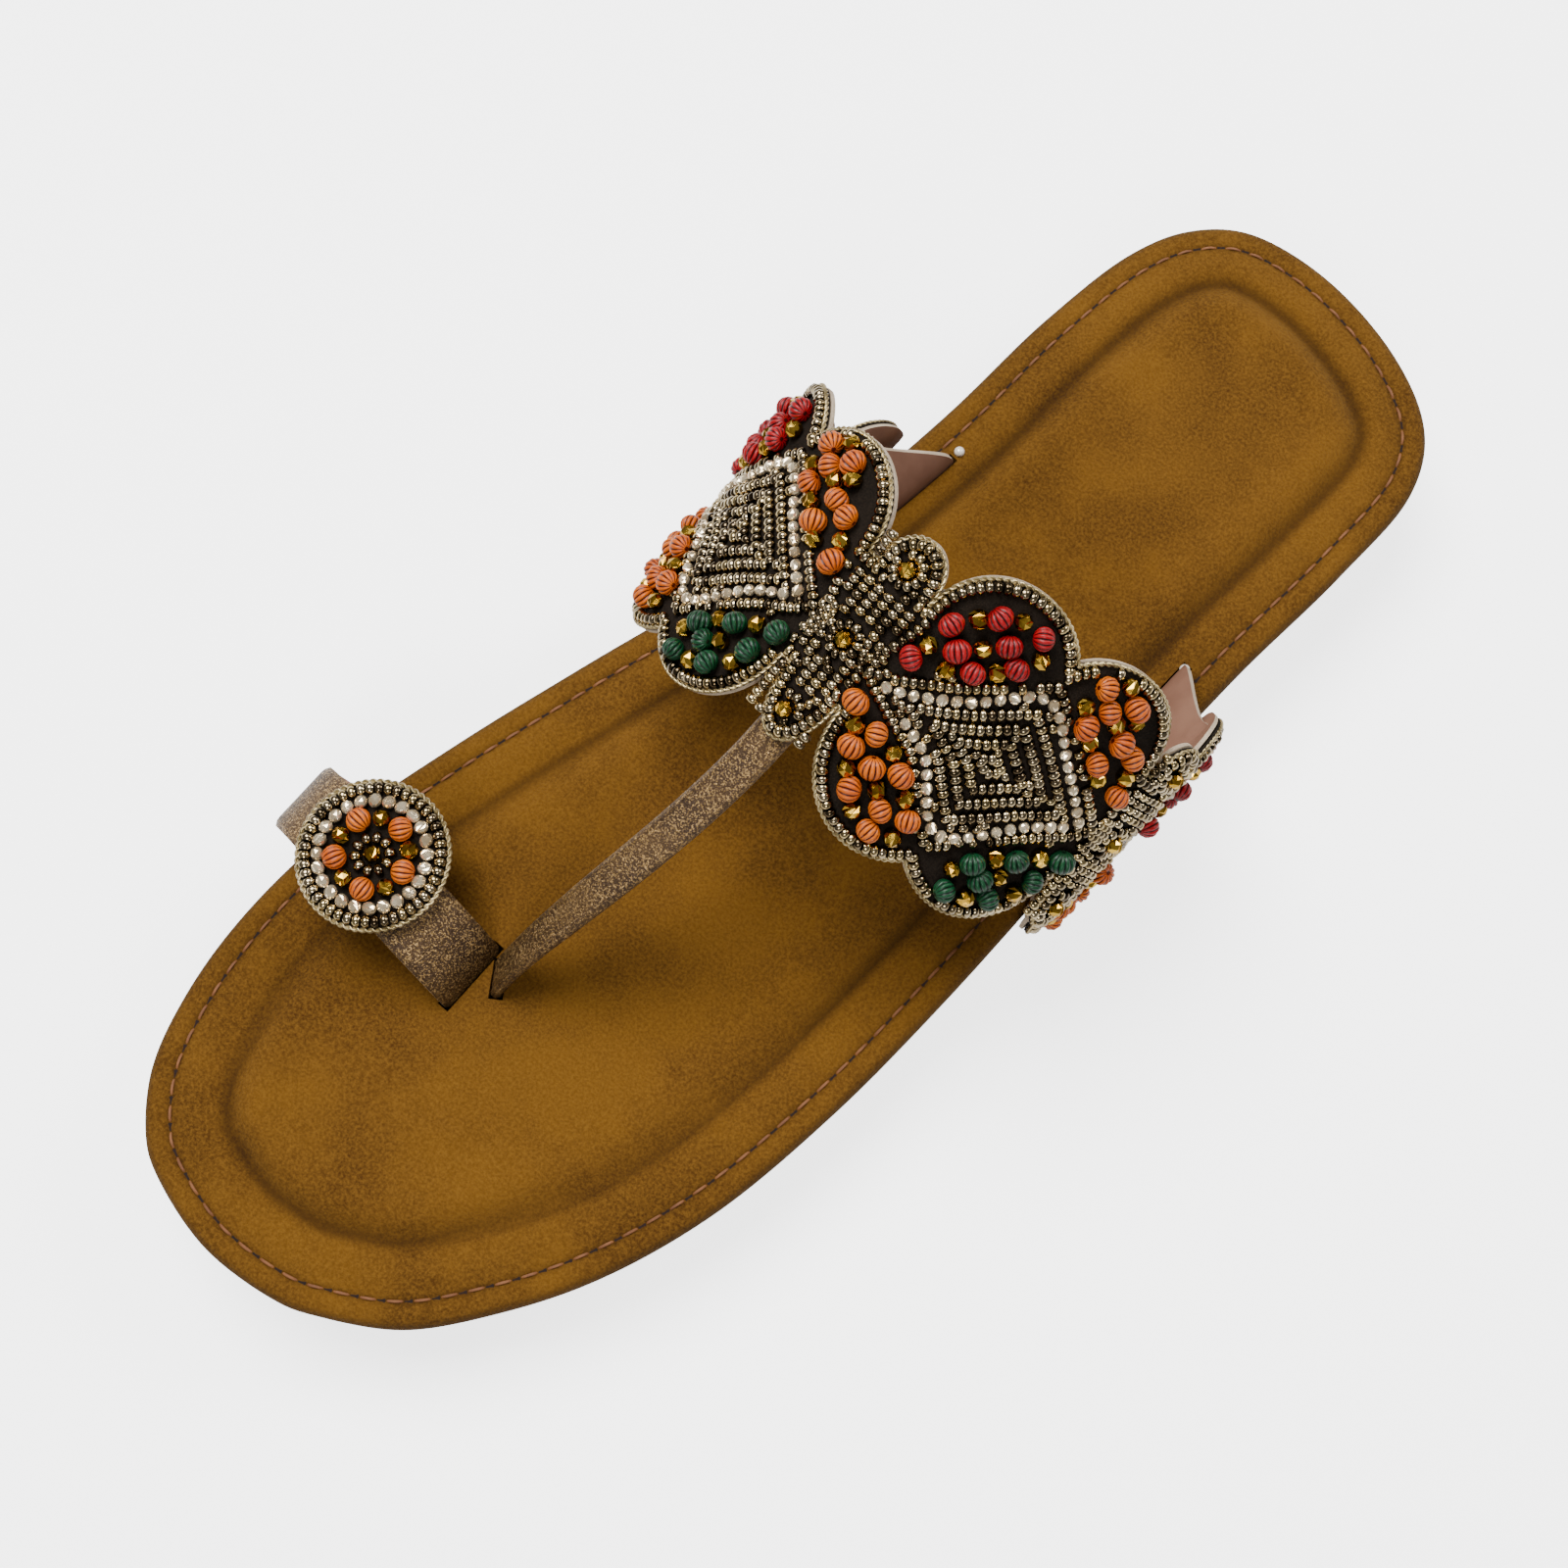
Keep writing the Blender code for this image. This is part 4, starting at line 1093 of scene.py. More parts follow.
# One joined mesh from many placed copies of a shape.
def gatherBeads(name, shapeKey, beads, materialKeys, slot, smooth=True):
    shape, faces, crest = shapes[shapeKey]
    allPoints = []
    allFaces = []
    allKinds = []
    for bead in beads:
        axes = np.stack([bead["across"] * bead["size"][0], bead["up"] * bead["size"][1],
                         bead["along"] * bead["size"][2]], 0)
        offset = len(allPoints) * len(shape)
        allPoints.append(shape @ axes + bead["point"])
        allFaces += [tuple(offset + index for index in face) for face in faces]
        allKinds += [bead.get("kind", 0)] * len(faces)
    skins = [materials[key] for key in materialKeys]
    piece = addPiece(name, np.vstack(allPoints), allFaces, skins, allKinds,
                     smoothAngle=50.0 if smooth else 0.0, slot=slot)
    if shapeKey == "melon":
        rib = piece.data.attributes.new("rib", "FLOAT", "POINT")
        rib.data.foreach_set("value", np.tile(crest, len(beads)).astype(np.float32))


def spin(turn):
    return math.cos(turn), math.sin(turn)


# A bead on a surface, which gives a point and its normal for a place, a width and a lift.
def beadAt(surface, here, direction, lift, size, kind=0, lean=0.0):
    point, normal = surface(*here, lift)
    ahead = surface(here[0] + direction[0] * 0.4 * mm, here[1] + direction[1] * 0.4 * mm, lift)[0]
    along = ahead - point
    along -= normal * np.dot(along, normal)
    along /= np.linalg.norm(along)
    if lean:
        along = along * math.cos(lean) + normal * math.sin(lean)
        normal = np.cross(along, np.cross(normal, along))
    across = np.cross(normal, along)
    return {"point": point, "along": along, "up": normal, "across": across, "size": size, "kind": kind}


# Places already taken on a surface, so that later rows stop where earlier beads lie.
class Crowd:

    def __init__(self):
        self.places = []
        self.radii = []

    def free(self, here, radius, overlap):
        if not self.places:
            return True
        away = np.linalg.norm(np.array(self.places) - np.array(here), axis=1)
        return bool(np.all(away > np.array(self.radii) + radius - overlap))

    def take(self, here, radius):
        self.places.append(tuple(here))
        self.radii.append(radius)


dice = random.Random(7)
seedLook = {
    "pitch": 1.34 * mm,
    "wide": 2.02 * mm,
    "long": 1.16 * mm,
    "tall": 1.66 * mm,
    "kinds": (0, 0, 0, 1, 2, 2),
    "lift": 0.70 * mm,
    # room that a seed takes as a share of its width, and how far rows may push into each other
    "room": 0.46,
    "overlap": 0.35 * mm,
    "ringOverlap": 0.5 * mm,
    # spread of the turn, the growth, the length, the lift and the lean
    "turn": 0.14,
    "grow": (0.93, 1.06),
    "stretch": (0.92, 1.05),
    "liftSpread": (-0.08, 0.10),
    "lean": 0.12,
}


def sway(limit):
    return dice.uniform(-limit, limit)


def seedRow(path, overlap):
    path = np.array(path, float)
    count = max(int(round(pathLength(path) / seedLook["pitch"])), 1)
    shares = [(index + 0.5) / count for index in range(count)]
    places = resamplePath(path, shares)
    ahead = resamplePath(path, [min(share + 0.2 / count, 1.0) for share in shares])
    behind = resamplePath(path, [max(share - 0.2 / count, 0.0) for share in shares])
    radius = seedLook["wide"] * seedLook["room"]
    beads = []
    fresh = []
    for here, front, back in zip(places, ahead, behind):
        if not crowd.free(here, radius, overlap):
            continue
        x, w = (front - back) / max(np.linalg.norm(front - back), 1e-9)
        cosine, sine = spin(sway(seedLook["turn"]))
        direction = (x * cosine - w * sine, x * sine + w * cosine)
        grow = dice.uniform(*seedLook["grow"])
        size = (seedLook["wide"] * grow, seedLook["tall"] * grow,
                seedLook["long"] * dice.uniform(*seedLook["stretch"]))
        lift = seedLook["lift"] + dice.uniform(*seedLook["liftSpread"]) * mm
        beads.append(beadAt(strip.point, here, direction, lift, size, dice.choice(seedLook["kinds"]),
                            sway(seedLook["lean"])))
        fresh.append(here)
    for here in fresh:
        crowd.take(here, radius)
    return beads


# The repeat of the pattern in millimetres: from one flower's centre to the next.
pattern = {
    "heelTongue": (0.5, 13.6), "toeTongue": (0.0, -13.4),
    "fanHeel": ((9.7, -1.1), (13.2, 0.3), (20.7, 4.9), (30.0, 12.2), (39.8, 6.3), (48.8, 0.3)),
    "fanToe": ((15.5, -3.4), (20.9, -5.3), (30.6, -13.6), (41.8, -4.7), (47.0, -1.6)),
    "fanCentre": (30.0, -0.6),
    "fanScales": (1.200, 0.797, 0.570, 0.343, 0.110),
    "heelRoot": ((5.9, 2.2), (6.9, 5.2), (7.8, 8.6), (8.2, 12.2), (9.6, 15.6)),
    "toeRoot": ((5.4, -2.2), (5.1, -5.2), (6.6, -8.0), (8.2, -11.4), (10.4, -14.8)),
    # a letter for each bead: melon Red, Orange, greeN; Gold faceted
    "heelFirst": ((9.5, 4.6, "R"), (10.3, 7.6, "G"), (10.8, 12.0, "R"), (13.3, 15.1, "G"), (15.6, 17.1, "R"),
                  (18.6, 18.8, "G"), (22.5, 18.8, "R"), (24.5, 16.1, "G"), (22.5, 13.0, "R"),
                  (20.7, 10.8, "G"), (17.9, 8.6, "R"), (14.6, 6.6, "G"), (14.0, 9.6, "R"), (16.7, 12.2, "G"),
                  (19.4, 14.8, "R")),
    "toeFirst": ((7.6, -5.4, "O"), (9.9, -8.1, "G"), (11.4, -10.8, "O"), (13.1, -7.1, "O"),
                 (16.9, -7.8, "G"), (15.9, -11.4, "O"), (13.1, -13.8, "G"), (15.4, -15.9, "O"),
                 (18.7, -13.5, "G"), (20.0, -9.6, "O"), (22.9, -12.1, "G"), (21.1, -15.6, "O"),
                 (17.9, -18.2, "G"), (21.8, -19.1, "O"), (25.5, -14.4, "O"), (25.6, -17.9, "G")),
    "heelSecond": ((35.4, 18.9, "O"), (38.4, 21.1, "G"), (41.7, 19.2, "O"), (38.4, 16.5, "O"),
                   (34.9, 14.9, "G"), (37.2, 12.6, "O"), (40.9, 15.5, "G"), (43.4, 17.5, "G"),
                   (43.9, 13.8, "O"), (47.3, 13.0, "O"), (43.0, 9.2, "O"), (39.6, 11.0, "G"),
                   (45.1, 7.4, "G"), (49.2, 10.0, "G"), (50.4, 6.9, "O")),
    "toeSecond": ((36.4, -16.4, "G"), (38.4, -13.9, "N"), (41.1, -11.3, "G"), (44.1, -9.8, "N"),
                  (47.4, -7.5, "G"), (51.2, -6.1, "N"), (41.4, -15.3, "N"), (43.9, -13.3, "G"),
                  (49.3, -11.1, "N"), (37.8, -19.7, "N"), (41.7, -18.8, "G"), (44.8, -17.0, "N"),
                  (48.2, -14.2, "G")),
}
cells = (-120.0, -60.0, 0.0, 60.0)
flowerCentres = ((0.0, 0.0), pattern["heelTongue"], pattern["toeTongue"])


def melonLook(size):
    return {"size": size, "shape": (1.0, 0.94, 0.88), "lift": 1.8 * mm, "room": 1.65 * mm, "lean": 0.30}


beadLooks = {
    "R": melonLook(4.1 * mm),
    "O": melonLook(4.2 * mm),
    "N": melonLook(4.1 * mm),
    "G": {"size": 3.1 * mm, "shape": (1.0, 1.0, 1.0), "lift": 1.4 * mm, "room": 1.25 * mm, "lean": 0.5},
    "boss": {"size": 2.9 * mm, "lift": 1.3 * mm, "room": 1.305 * mm, "lean": 0.4},
    "crystal": {"size": 2.05 * mm, "shape": (1.0, 0.9, 1.0), "lift": 0.95 * mm, "room": 0.95 * mm,
                "lean": 0.4, "pitch": 2.15 * mm, "overlap": 0.5 * mm},
    "spread": (0.94, 1.06),
}
# The rows keep this far from the strip's ends, and the others this far from the rows' ends.
endMargins = {"row": 1.2 * mm, "large": 1.5 * mm, "boss": 3 * mm}
stripLow = band["ends"][0] + endMargins["row"]
stripHigh = band["ends"][1] - endMargins["row"]
crowd = Crowd()
largeBeads = {"R": [], "O": [], "N": [], "G": []}
crystals = []
seeds = {"Fan": [], "Petal": [], "Edge": []}


def alongStrip(points, offset):
    return [((x + offset) * mm, w * mm) for x, w in points]


def withinEnds(here, margin):
    return stripLow + margin < here[0] < stripHigh - margin


def placeBead(here, look, turn, size):
    shape = tuple(size * share for share in look["shape"])
    crowd.take(here, look["room"])
    return beadAt(strip.point, here, spin(turn), look["lift"], shape, 0, sway(look["lean"]))


for offset in cells:
    for key in ("heelFirst", "toeFirst", "heelSecond", "toeSecond"):
        for x, w, letter in pattern[key]:
            here = ((x + offset) * mm, w * mm)
            if withinEnds(here, endMargins["large"]):
                look = beadLooks[letter]
                turn = dice.uniform(0.0, math.pi)
                size = look["size"] * dice.uniform(*beadLooks["spread"])
                largeBeads[letter].append(placeBead(here, look, turn, size))
    for here in alongStrip(flowerCentres, offset):
        if withinEnds(here, endMargins["boss"]):
            look = beadLooks["boss"]
            bead = beadAt(strip.point, here, (1.0, 0.0), look["lift"], (look["size"],) * 3, 0, look["lean"])
            largeBeads["G"].append(bead)
            crowd.take(here, look["room"])

# Crystals round each fan, then the seed rows.
for offset in cells:
    for key in ("fanHeel", "fanToe"):
        look = beadLooks["crystal"]
        path = splinePath(alongStrip(pattern[key], offset), 12)
        count = int(round(pathLength(path) / look["pitch"]))
        for here in resamplePath(path, [index / count for index in range(count + 1)]):
            if withinEnds(here, 0.0) and crowd.free(here, look["room"], look["overlap"]):
                size = look["size"] * dice.uniform(*beadLooks["spread"])
                crystals.append(placeBead(here, look, dice.uniform(0.0, math.pi), size))


def addSeeds(group, path, overlap=seedLook["overlap"]):
    path = [here for here in path if withinEnds(here, 0.0)]
    if len(path) > 1:
        seeds[group] += seedRow(path, overlap)


# Millimetres: seeds stand this far in from the edge, and a flower's ring has this radius.
seedRows = {"edge": 1.25, "endTop": 2.4, "ring": 2.35, "tongue": (1.2, 16.5),
            "tongueColumns": (-1.05, 1.05, -3.15, 3.15, -5.25, 5.25)}
edgePlaces = np.linspace(stripLow, stripHigh, 1400)


def heelSide(place, inward):
    return scallop(place, band["heelLobes"], inward * mm)


def toeSide(place, inward):
    return -scallop(place, band["toeLobes"], inward * mm)


for edgeSide in (heelSide, toeSide):
    addSeeds("Edge", [(place, edgeSide(place, seedRows["edge"])) for place in edgePlaces])
for offset in cells:
    middle = np.array(pattern["fanCentre"])
    border = np.array([*pattern["fanHeel"], *pattern["fanToe"][::-1], pattern["fanHeel"][0]])
    for scale in pattern["fanScales"]:
        shrunk = alongStrip(middle + (border - middle) * scale, offset)
        addSeeds("Fan", resamplePath(np.array(shrunk), np.linspace(0.0, 1.0, 160)))
    for key in ("heelRoot", "toeRoot"):
        mirrored = [(60.0 - x, w) for x, w in pattern[key]]
        for line in (pattern[key], mirrored):
            addSeeds("Petal", splinePath(alongStrip(line, offset), 10))
    for centre in flowerCentres:
        around = [(centre[0] + x, centre[1] + w) for x, w in circle(seedRows["ring"], 32)]
        addSeeds("Petal", alongStrip(around + around[:1], offset), seedLook["ringOverlap"])
    # Rows up and down the two tongues, side by side.
    for column in seedRows["tongueColumns"]:
        for toward in (-1.0, 1.0):
            addSeeds("Petal", alongStrip([(column, toward * w) for w in seedRows["tongue"]], offset))
for end, inward in zip(band["ends"], (seedRows["edge"] * mm, -seedRows["edge"] * mm)):
    place = end + inward
    low, high = toeSide(place, seedRows["endTop"]), heelSide(place, seedRows["endTop"])
    addSeeds("Edge", [(place, low + (high - low) * step / 20) for step in range(21)])

# Small gaps between the rows, outside the petals, are filled with loose seeds.
filler = {"rows": 44, "columns": 150, "across": 1.2, "up": 1.1, "edge": 1.3, "flowerHalf": 6.8,
          "fanHalf": (24.0, 15.9), "fanBelow": 0.6, "endZone": 5 * mm, "room": 0.70 * mm,
          "overlap": 0.34 * mm, "lift": 0.62 * mm}
looseSize = (seedLook["wide"] * 0.9, seedLook["tall"] * 0.9, seedLook["long"] * 0.95)


def wantsFiller(place, width):
    phase = (place / mm + 120.0) % 60.0
    nearFlower = min(phase, 60.0 - phase) < filler["flowerHalf"]
    halfLong, halfWide = filler["fanHalf"]
    inFan = abs(phase - 30.0) / halfLong + abs(width / mm + filler["fanBelow"]) / halfWide < 1.0
    nearEnd = not withinEnds((place, width), filler["endZone"])
    inside = toeSide(place, filler["edge"]) < width < heelSide(place, filler["edge"])
    return place < stripHigh and inside and (nearFlower or inFan or nearEnd)


for row in range(filler["rows"]):
    for column in range(filler["columns"]):
        here = (stripLow + (column + 0.5 * (row % 2)) * filler["across"] * mm,
                (row - (filler["rows"] - 1) / 2) * filler["up"] * mm)
        if wantsFiller(*here) and crowd.free(here, filler["room"], filler["overlap"]):
            turn = dice.uniform(0.0, math.pi)
            seeds["Petal"].append(beadAt(strip.point, here, spin(turn), filler["lift"], looseSize,
                                         dice.choice(seedLook["kinds"])))
            crowd.take(here, filler["room"])

seedMaterials = ["seedSilver", "seedGun", "seedBrass"]
for group, beads in seeds.items():
    gatherBeads("seedBeads" + group, "seed", beads, seedMaterials, "band_beadwork")
for letter, label in (("R", "Red"), ("O", "Orange"), ("N", "Green")):
    gatherBeads("melonBeads" + label, "melon", largeBeads[letter], ["melon" + label], "band_beadwork")
gatherBeads("goldBeads", "facet", largeBeads["G"], ["goldFacet"], "band_beadwork", smooth=False)
gatherBeads("crystalRows", "crystal", crystals, ["crystalGem"], "band_beadwork", smooth=False)
print("beads:", {group: len(beads) for group, beads in seeds.items()}, "crystals", len(crystals))


# Two strands laid round a centre line on a surface.
cord = {"strand": 0.23 * mm, "turnLength": 2.2 * mm, "lift": 0.30 * mm, "inset": 0.15, "wide": 0.85,
        "tall": 0.70, "samplesPerTurn": 8, "sides": 6}


def twistedCord(name, surface, path, lift, radius, turnLength, slot):
    flat = resamplePath(np.array(path, float), np.linspace(0.0, 1.0, 1400))
    spots = [surface(*here, lift) for here in flat]
    line = np.array([spot[0] for spot in spots])
    normals = np.array([spot[1] for spot in spots])
    length = pathLength(line)
    count = int(length / turnLength * cord["samplesPerTurn"])
    shares = np.linspace(0.0, 1.0, count)
    centre = resamplePath(line, shares)
    lengths = np.r_[0.0, np.cumsum(np.linalg.norm(np.diff(line, axis=0), axis=1))] / length
    normal = np.stack([np.interp(shares, lengths, normals[:, axis]) for axis in range(3)], 1)
    ahead = np.gradient(centre, axis=0)
    ahead /= np.linalg.norm(ahead, axis=1)[:, None]
    across = np.cross(normal, ahead)
    across /= np.linalg.norm(across, axis=1)[:, None]
    up = np.cross(ahead, across)
    section = circle(1.0, cord["sides"])
    points = []
    faces = []
    for strand in (0.0, math.pi):
        faces += tubeFaces(len(points), count, cord["sides"])
        for index in range(count):
            x, z = spin(math.tau * index / cord["samplesPerTurn"] + strand)
            middle = (centre[index] + across[index] * x * radius * cord["wide"]
                      + up[index] * z * radius * cord["tall"])
            points += [middle + (across[index] * x + up[index] * z) * radius for x, z in section]
    addPiece(name, points, faces, [materials["cordGold"]], smoothAngle=60.0, slot=slot)


for label, edgeSide in (("Heel", heelSide), ("Toe", toeSide)):
    edgePath = [(place, edgeSide(place, cord["inset"])) for place in edgePlaces]
    twistedCord("cord" + label + "Edge", strip.point, edgePath, cord["lift"], cord["strand"],
                cord["turnLength"], "band_beadwork")
print("edge cords laid")


# Straps of glitter leather: a rounded, folded edge down each side.
ribbon = {
    "shares": (-0.5, -0.485, -0.44, -0.38, -0.31, -0.26, -0.12, 0.0, 0.12, 0.26, 0.31, 0.38, 0.44,
               0.485, 0.5),
    # shares of half the thickness, at distances from the edge that are shares of the width
    "fall": 0.75,
    "fallBetween": (-0.02, 0.09),
    "rim": 0.10,
    "rimPlace": 0.10,
    "rimWidth": 0.055,
    "crease": 0.16,
    "creasePlace": 0.215,
    "creaseWidth": 0.035,
}


def ribbonGrids(path, width, thickness, lean):
    outer = []
    inner = []
    for index, point in enumerate(path):
        ahead = path[min(index + 1, len(path) - 1)] - path[max(index - 1, 0)]
        ahead = ahead / np.linalg.norm(ahead)
        across = lean[index] - ahead * np.dot(lean[index], ahead)
        across /= np.linalg.norm(across)
        out = np.cross(ahead, across)
        outside = []
        inside = []
        for share in ribbon["shares"]:
            edge = 0.5 - abs(share)
            fall = 1.0 - ribbon["fall"] * (1.0 - ease(edge, *ribbon["fallBetween"]))
            rim = ribbon["rim"] * hump(edge - ribbon["rimPlace"], ribbon["rimWidth"])
            crease = ribbon["crease"] * hump(edge - ribbon["creasePlace"], ribbon["creaseWidth"])
            outside.append(point + across * share * width + out * thickness * 0.5 * (fall + rim - crease))
            inside.append(point + across * share * width - out * thickness * 0.5 * fall)
        outer.append(outside)
        inner.append(inside)
    return outer, inner


def smoothed(path, steps):
    return [np.array(point) for point in resamplePath(splinePath(path, 6), np.linspace(0.0, 1.0, steps))]


def strapFrame():
    depth = band["wallDepth"] + last["gap"] + toe["strapThickness"] / 2
    lapped = []
    for share in (1.0, 0.55, 0.1):
        point, normal = strip.point(0.0, toeSide(0.0, 0.0) + toe["strapLap"] * share)
        lapped.append(point - normal * depth)
    downBand = lapped[-1] - lapped[0]
    downBand /= np.linalg.norm(downBand)
    foot = np.array((*toe["strapFoot"], bedTop(toe["strapFoot"][1]) + last["padStep"]))
    chord = np.linalg.norm(foot - lapped[-1])
    leave = lapped[-1] + downBand * chord * toe["strapLeave"]
    arrive = foot + np.array(toe["strapRise"]) * chord * toe["strapArrive"]
    path = lapped + curl(lapped[-1], leave, arrive, foot, 14)
    down = np.array((0.0, 0.0, last["slitDepth"] - last["gap"]))
    path = smoothed(path + [foot - down * 0.5, foot - down], 90)
    steps = [index / (len(path) - 1) for index in range(len(path))]
    lean = [strapAcross(toe["strapTurn"] * ease(step, *toe["strapTwist"])) for step in steps]
    return path, lean


strapPath, strapLean = strapFrame()
strapOuter, strapInner = ribbonGrids(strapPath, toe["strapWidth"], toe["strapThickness"], strapLean)
points, faces, kinds = wall(strapOuter, strapInner)
strapPiece = addPiece("tStrapLeather", points, faces, [materials["strapLeather"]], slot="t_strap_leather")
tidyNormals(strapPiece)
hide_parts("t_strap")


def loopRows():
    edge = edgeX("medial", toe["loopCentre"])
    level = bedTop(toe["loopCentre"])
    rows = []
    for across, height in toe["loopRows"]:
        x = toe["loopFoot"][0] + (edge - toe["loopFoot"][0]) * across
        y = toe["loopFoot"][1] + (toe["loopCentre"] - toe["loopFoot"][1]) * min(across, 1.0)
        rows.append((x, y, level + toe["loopRise"] * height))
    rows[0] = (*rows[0][:2], level + last["padStep"] - last["slitDepth"] + last["gap"])
    return smoothed(rows, 110)


def buildLoop():
    path = loopRows()
    lean = [np.array(toe["loopAcross"])] * len(path)
    outer, inner = ribbonGrids(path, toe["loopWidth"], toe["loopThickness"], lean)
    rows = len(inner[0])
    middle = sum(path) / len(path)
    half = len(path) // 2
    if np.dot(outer[half][rows // 2] - path[half], path[half] - middle) < 0:
        outer, inner = inner, outer
    level = bedTop(toe["loopCentre"]) + toe["loopRise"] * toe["loopTabRoot"]
    column = [index for index in range(half, len(path)) if path[index][2] > level][-1]
    feet = slitFeet(slitLine("medial", "loop", rows))
    if inner[column][0][1] > inner[column][-1][1]:
        feet = feet[::-1]
    roots = [(inner[column][row] + inner[column + 1][row]) / 2 for row in range(rows)]
    sections = tabSections(roots, feet, np.array((1.0, 0.0, 0.0)), band["tabThickness"])
    tab = {"column": column, "first": 0, "last": rows - 1, "sections": sections}
    points, faces, kinds = wall(outer, inner, [tab])
    piece = addPiece("toeLoopLeather", points, faces,
                     [materials["loopLeather"], materials["lining"], materials["liningEdge"]], kinds,
                     slot="toe_loop_leather")
    tidyNormals(piece)
    return piece, path


loopPiece, loopPath = buildLoop()
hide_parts("toe_loop")
print("straps:", len(strapPiece.data.polygons), len(loopPiece.data.polygons), "faces")

# Round medallion on the loop's crest.
medallion = {
    "radius": 12.1 * mm,
    "discHeight": 1.4 * mm,
    "discShare": 0.985,
    # shares of the disc's radius and height, from the underside's rim to the middle of the top
    "discRows": ((0.90, 0.0), (0.97, 0.10), (1.0, 0.40), (1.0, 0.75), (0.97, 0.95), (0.90, 1.0),
                 (0.5, 1.05), (0.1, 1.05)),
    "phase": math.radians(13.6),
    # kind of bead, radius in millimetres, how many
    "rings": (("seed", 10.8, 46), ("crystal", 8.75, 24), ("mixed", 5.9, 10), ("seed", 2.75, 10)),
    # size of each bead and its lift
    "seed": ((2.1 * mm, 1.7 * mm, 1.22 * mm), 0.7 * mm),
    "crystal": ((2.5 * mm, 2.1 * mm, 2.5 * mm), 0.95 * mm),
    "melon": ((4.1 * mm, 3.7 * mm, 4.0 * mm), 1.45 * mm),
    "melonTurn": 0.6,
    "gold": ((3.2 * mm,) * 3, 1.2 * mm),
    "boss": ((2.9 * mm,) * 3, 1.1 * mm),
    "cordStrand": 0.27 * mm,
    "cordTurn": 2.4 * mm,
}
loopEdge = edgeX("medial", toe["loopCentre"])
discCentre = np.array((toe["loopFoot"][0] + (loopEdge - toe["loopFoot"][0]) * toe["medallionAcross"],
                       toe["medallionPlace"],
                       max(point[2] for point in loopPath) + toe["loopThickness"] / 2 + last["gap"]))


def onDisc(place, width, lift):
    return discCentre + np.array((place, width, medallion["discHeight"] + lift)), np.array((0.0, 0.0, 1.0))


def buildMedallion():
    rings = []
    for share, height in medallion["discRows"]:
        level = circle(share * medallion["radius"] * medallion["discShare"], 96)
        rings.append([discCentre + np.array((x, y, height * medallion["discHeight"])) for x, y in level])
    points, faces = loft(rings)
    piece = addPiece("medallionDisc", points, faces, [materials["blackCloth"]], slot="medallion_beadwork")
    tidyNormals(piece)
    return piece


discPiece = buildMedallion()
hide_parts("toe_medallion")
discBeads = {"seed": [], "crystal": [], "melon": [], "gold": []}


def discBead(look, here, direction, kind=0, lean=0.0):
    size, lift = medallion[look]
    return beadAt(onDisc, here, direction, lift, size, kind, lean)


discBeads["gold"].append(discBead("boss", (0.0, 0.0), (1.0, 0.0)))
for kind, radius, count in medallion["rings"]:
    for index in range(count):
        angle = math.tau * index / count + medallion["phase"]
        here = (radius * mm * math.cos(angle), radius * mm * math.sin(angle))
        tangent = (-math.sin(angle), math.cos(angle))
        look = kind
        if kind == "seed":
            bead = discBead("seed", here, tangent, dice.choice(seedLook["kinds"]), sway(seedLook["lean"]))
        elif kind == "crystal":
            turn = dice.uniform(0.0, math.pi)
            bead = discBead("crystal", here, spin(turn), 0, sway(beadLooks["crystal"]["lean"]))
        elif index % 2 == 0:
            look = "melon"
            bead = discBead("melon", here, spin(angle + sway(medallion["melonTurn"])))
        else:
            look = "gold"
            bead = discBead("gold", here, tangent, 0, sway(beadLooks["G"]["lean"]))
        discBeads[look].append(bead)
gatherBeads("medallionSeeds", "seed", discBeads["seed"], seedMaterials, "medallion_beadwork")
for name, shapeKey, look, skin in (("Crystals", "crystal", "crystal", "crystalGem"),
                                   ("Melons", "melon", "melon", "melonOrange"),
                                   ("Gold", "facet", "gold", "goldFacet")):
    gatherBeads("medallion" + name, shapeKey, discBeads[look], [skin], "medallion_beadwork",
                smooth=(look == "melon"))
rim = circle(medallion["radius"], 90)
twistedCord("medallionCord", onDisc, rim + rim[:1], 0.0, medallion["cordStrand"], medallion["cordTurn"],
            "medallion_beadwork")
print("medallion:", len(discBeads["seed"]), "seeds")

# Sewn line round the footbed: light thread between near-black discs of painted shade at the needle holes.
stitches = {
    "inset": footbed["stitchInset"],
    "pitch": 4.3 * mm,
    "radius": 0.22 * mm,
    "hole": 0.68 * mm,
    "holeLift": 0.05 * mm,
    # shares of the pitch: start, middle and end of the thread, then the needle hole
    "places": (0.10, 0.45, 0.80, 0.95),
    # the thread's ends sink by this much, and its middle rises from there
    "sink": 0.30 * mm,
    "rise": 0.55 * mm,
    # the toe loop's end hides what lies this near to it, along the sole and in from the edge
    "hiddenAlong": 6.2 * mm,
    "hiddenIn": 8 * mm,
}


def stitchPlaces():
    line = ring(2400, stitches["inset"])
    closed = np.vstack([line, line[:1]])
    count = int(round(pathLength(closed) / stitches["pitch"]))
    innerEdge = edgeX("medial", toe["loopCentre"])
    sewn = []
    for index in range(count):
        spots = resamplePath(closed, [min((index + share) / count, 1.0) for share in stitches["places"]])
        beside = abs(spots[1][1] - toe["loopCentre"]) < stitches["hiddenAlong"]
        if not (beside and spots[1][0] < innerEdge + stitches["hiddenIn"]):
            sewn.append(spots)
    return sewn


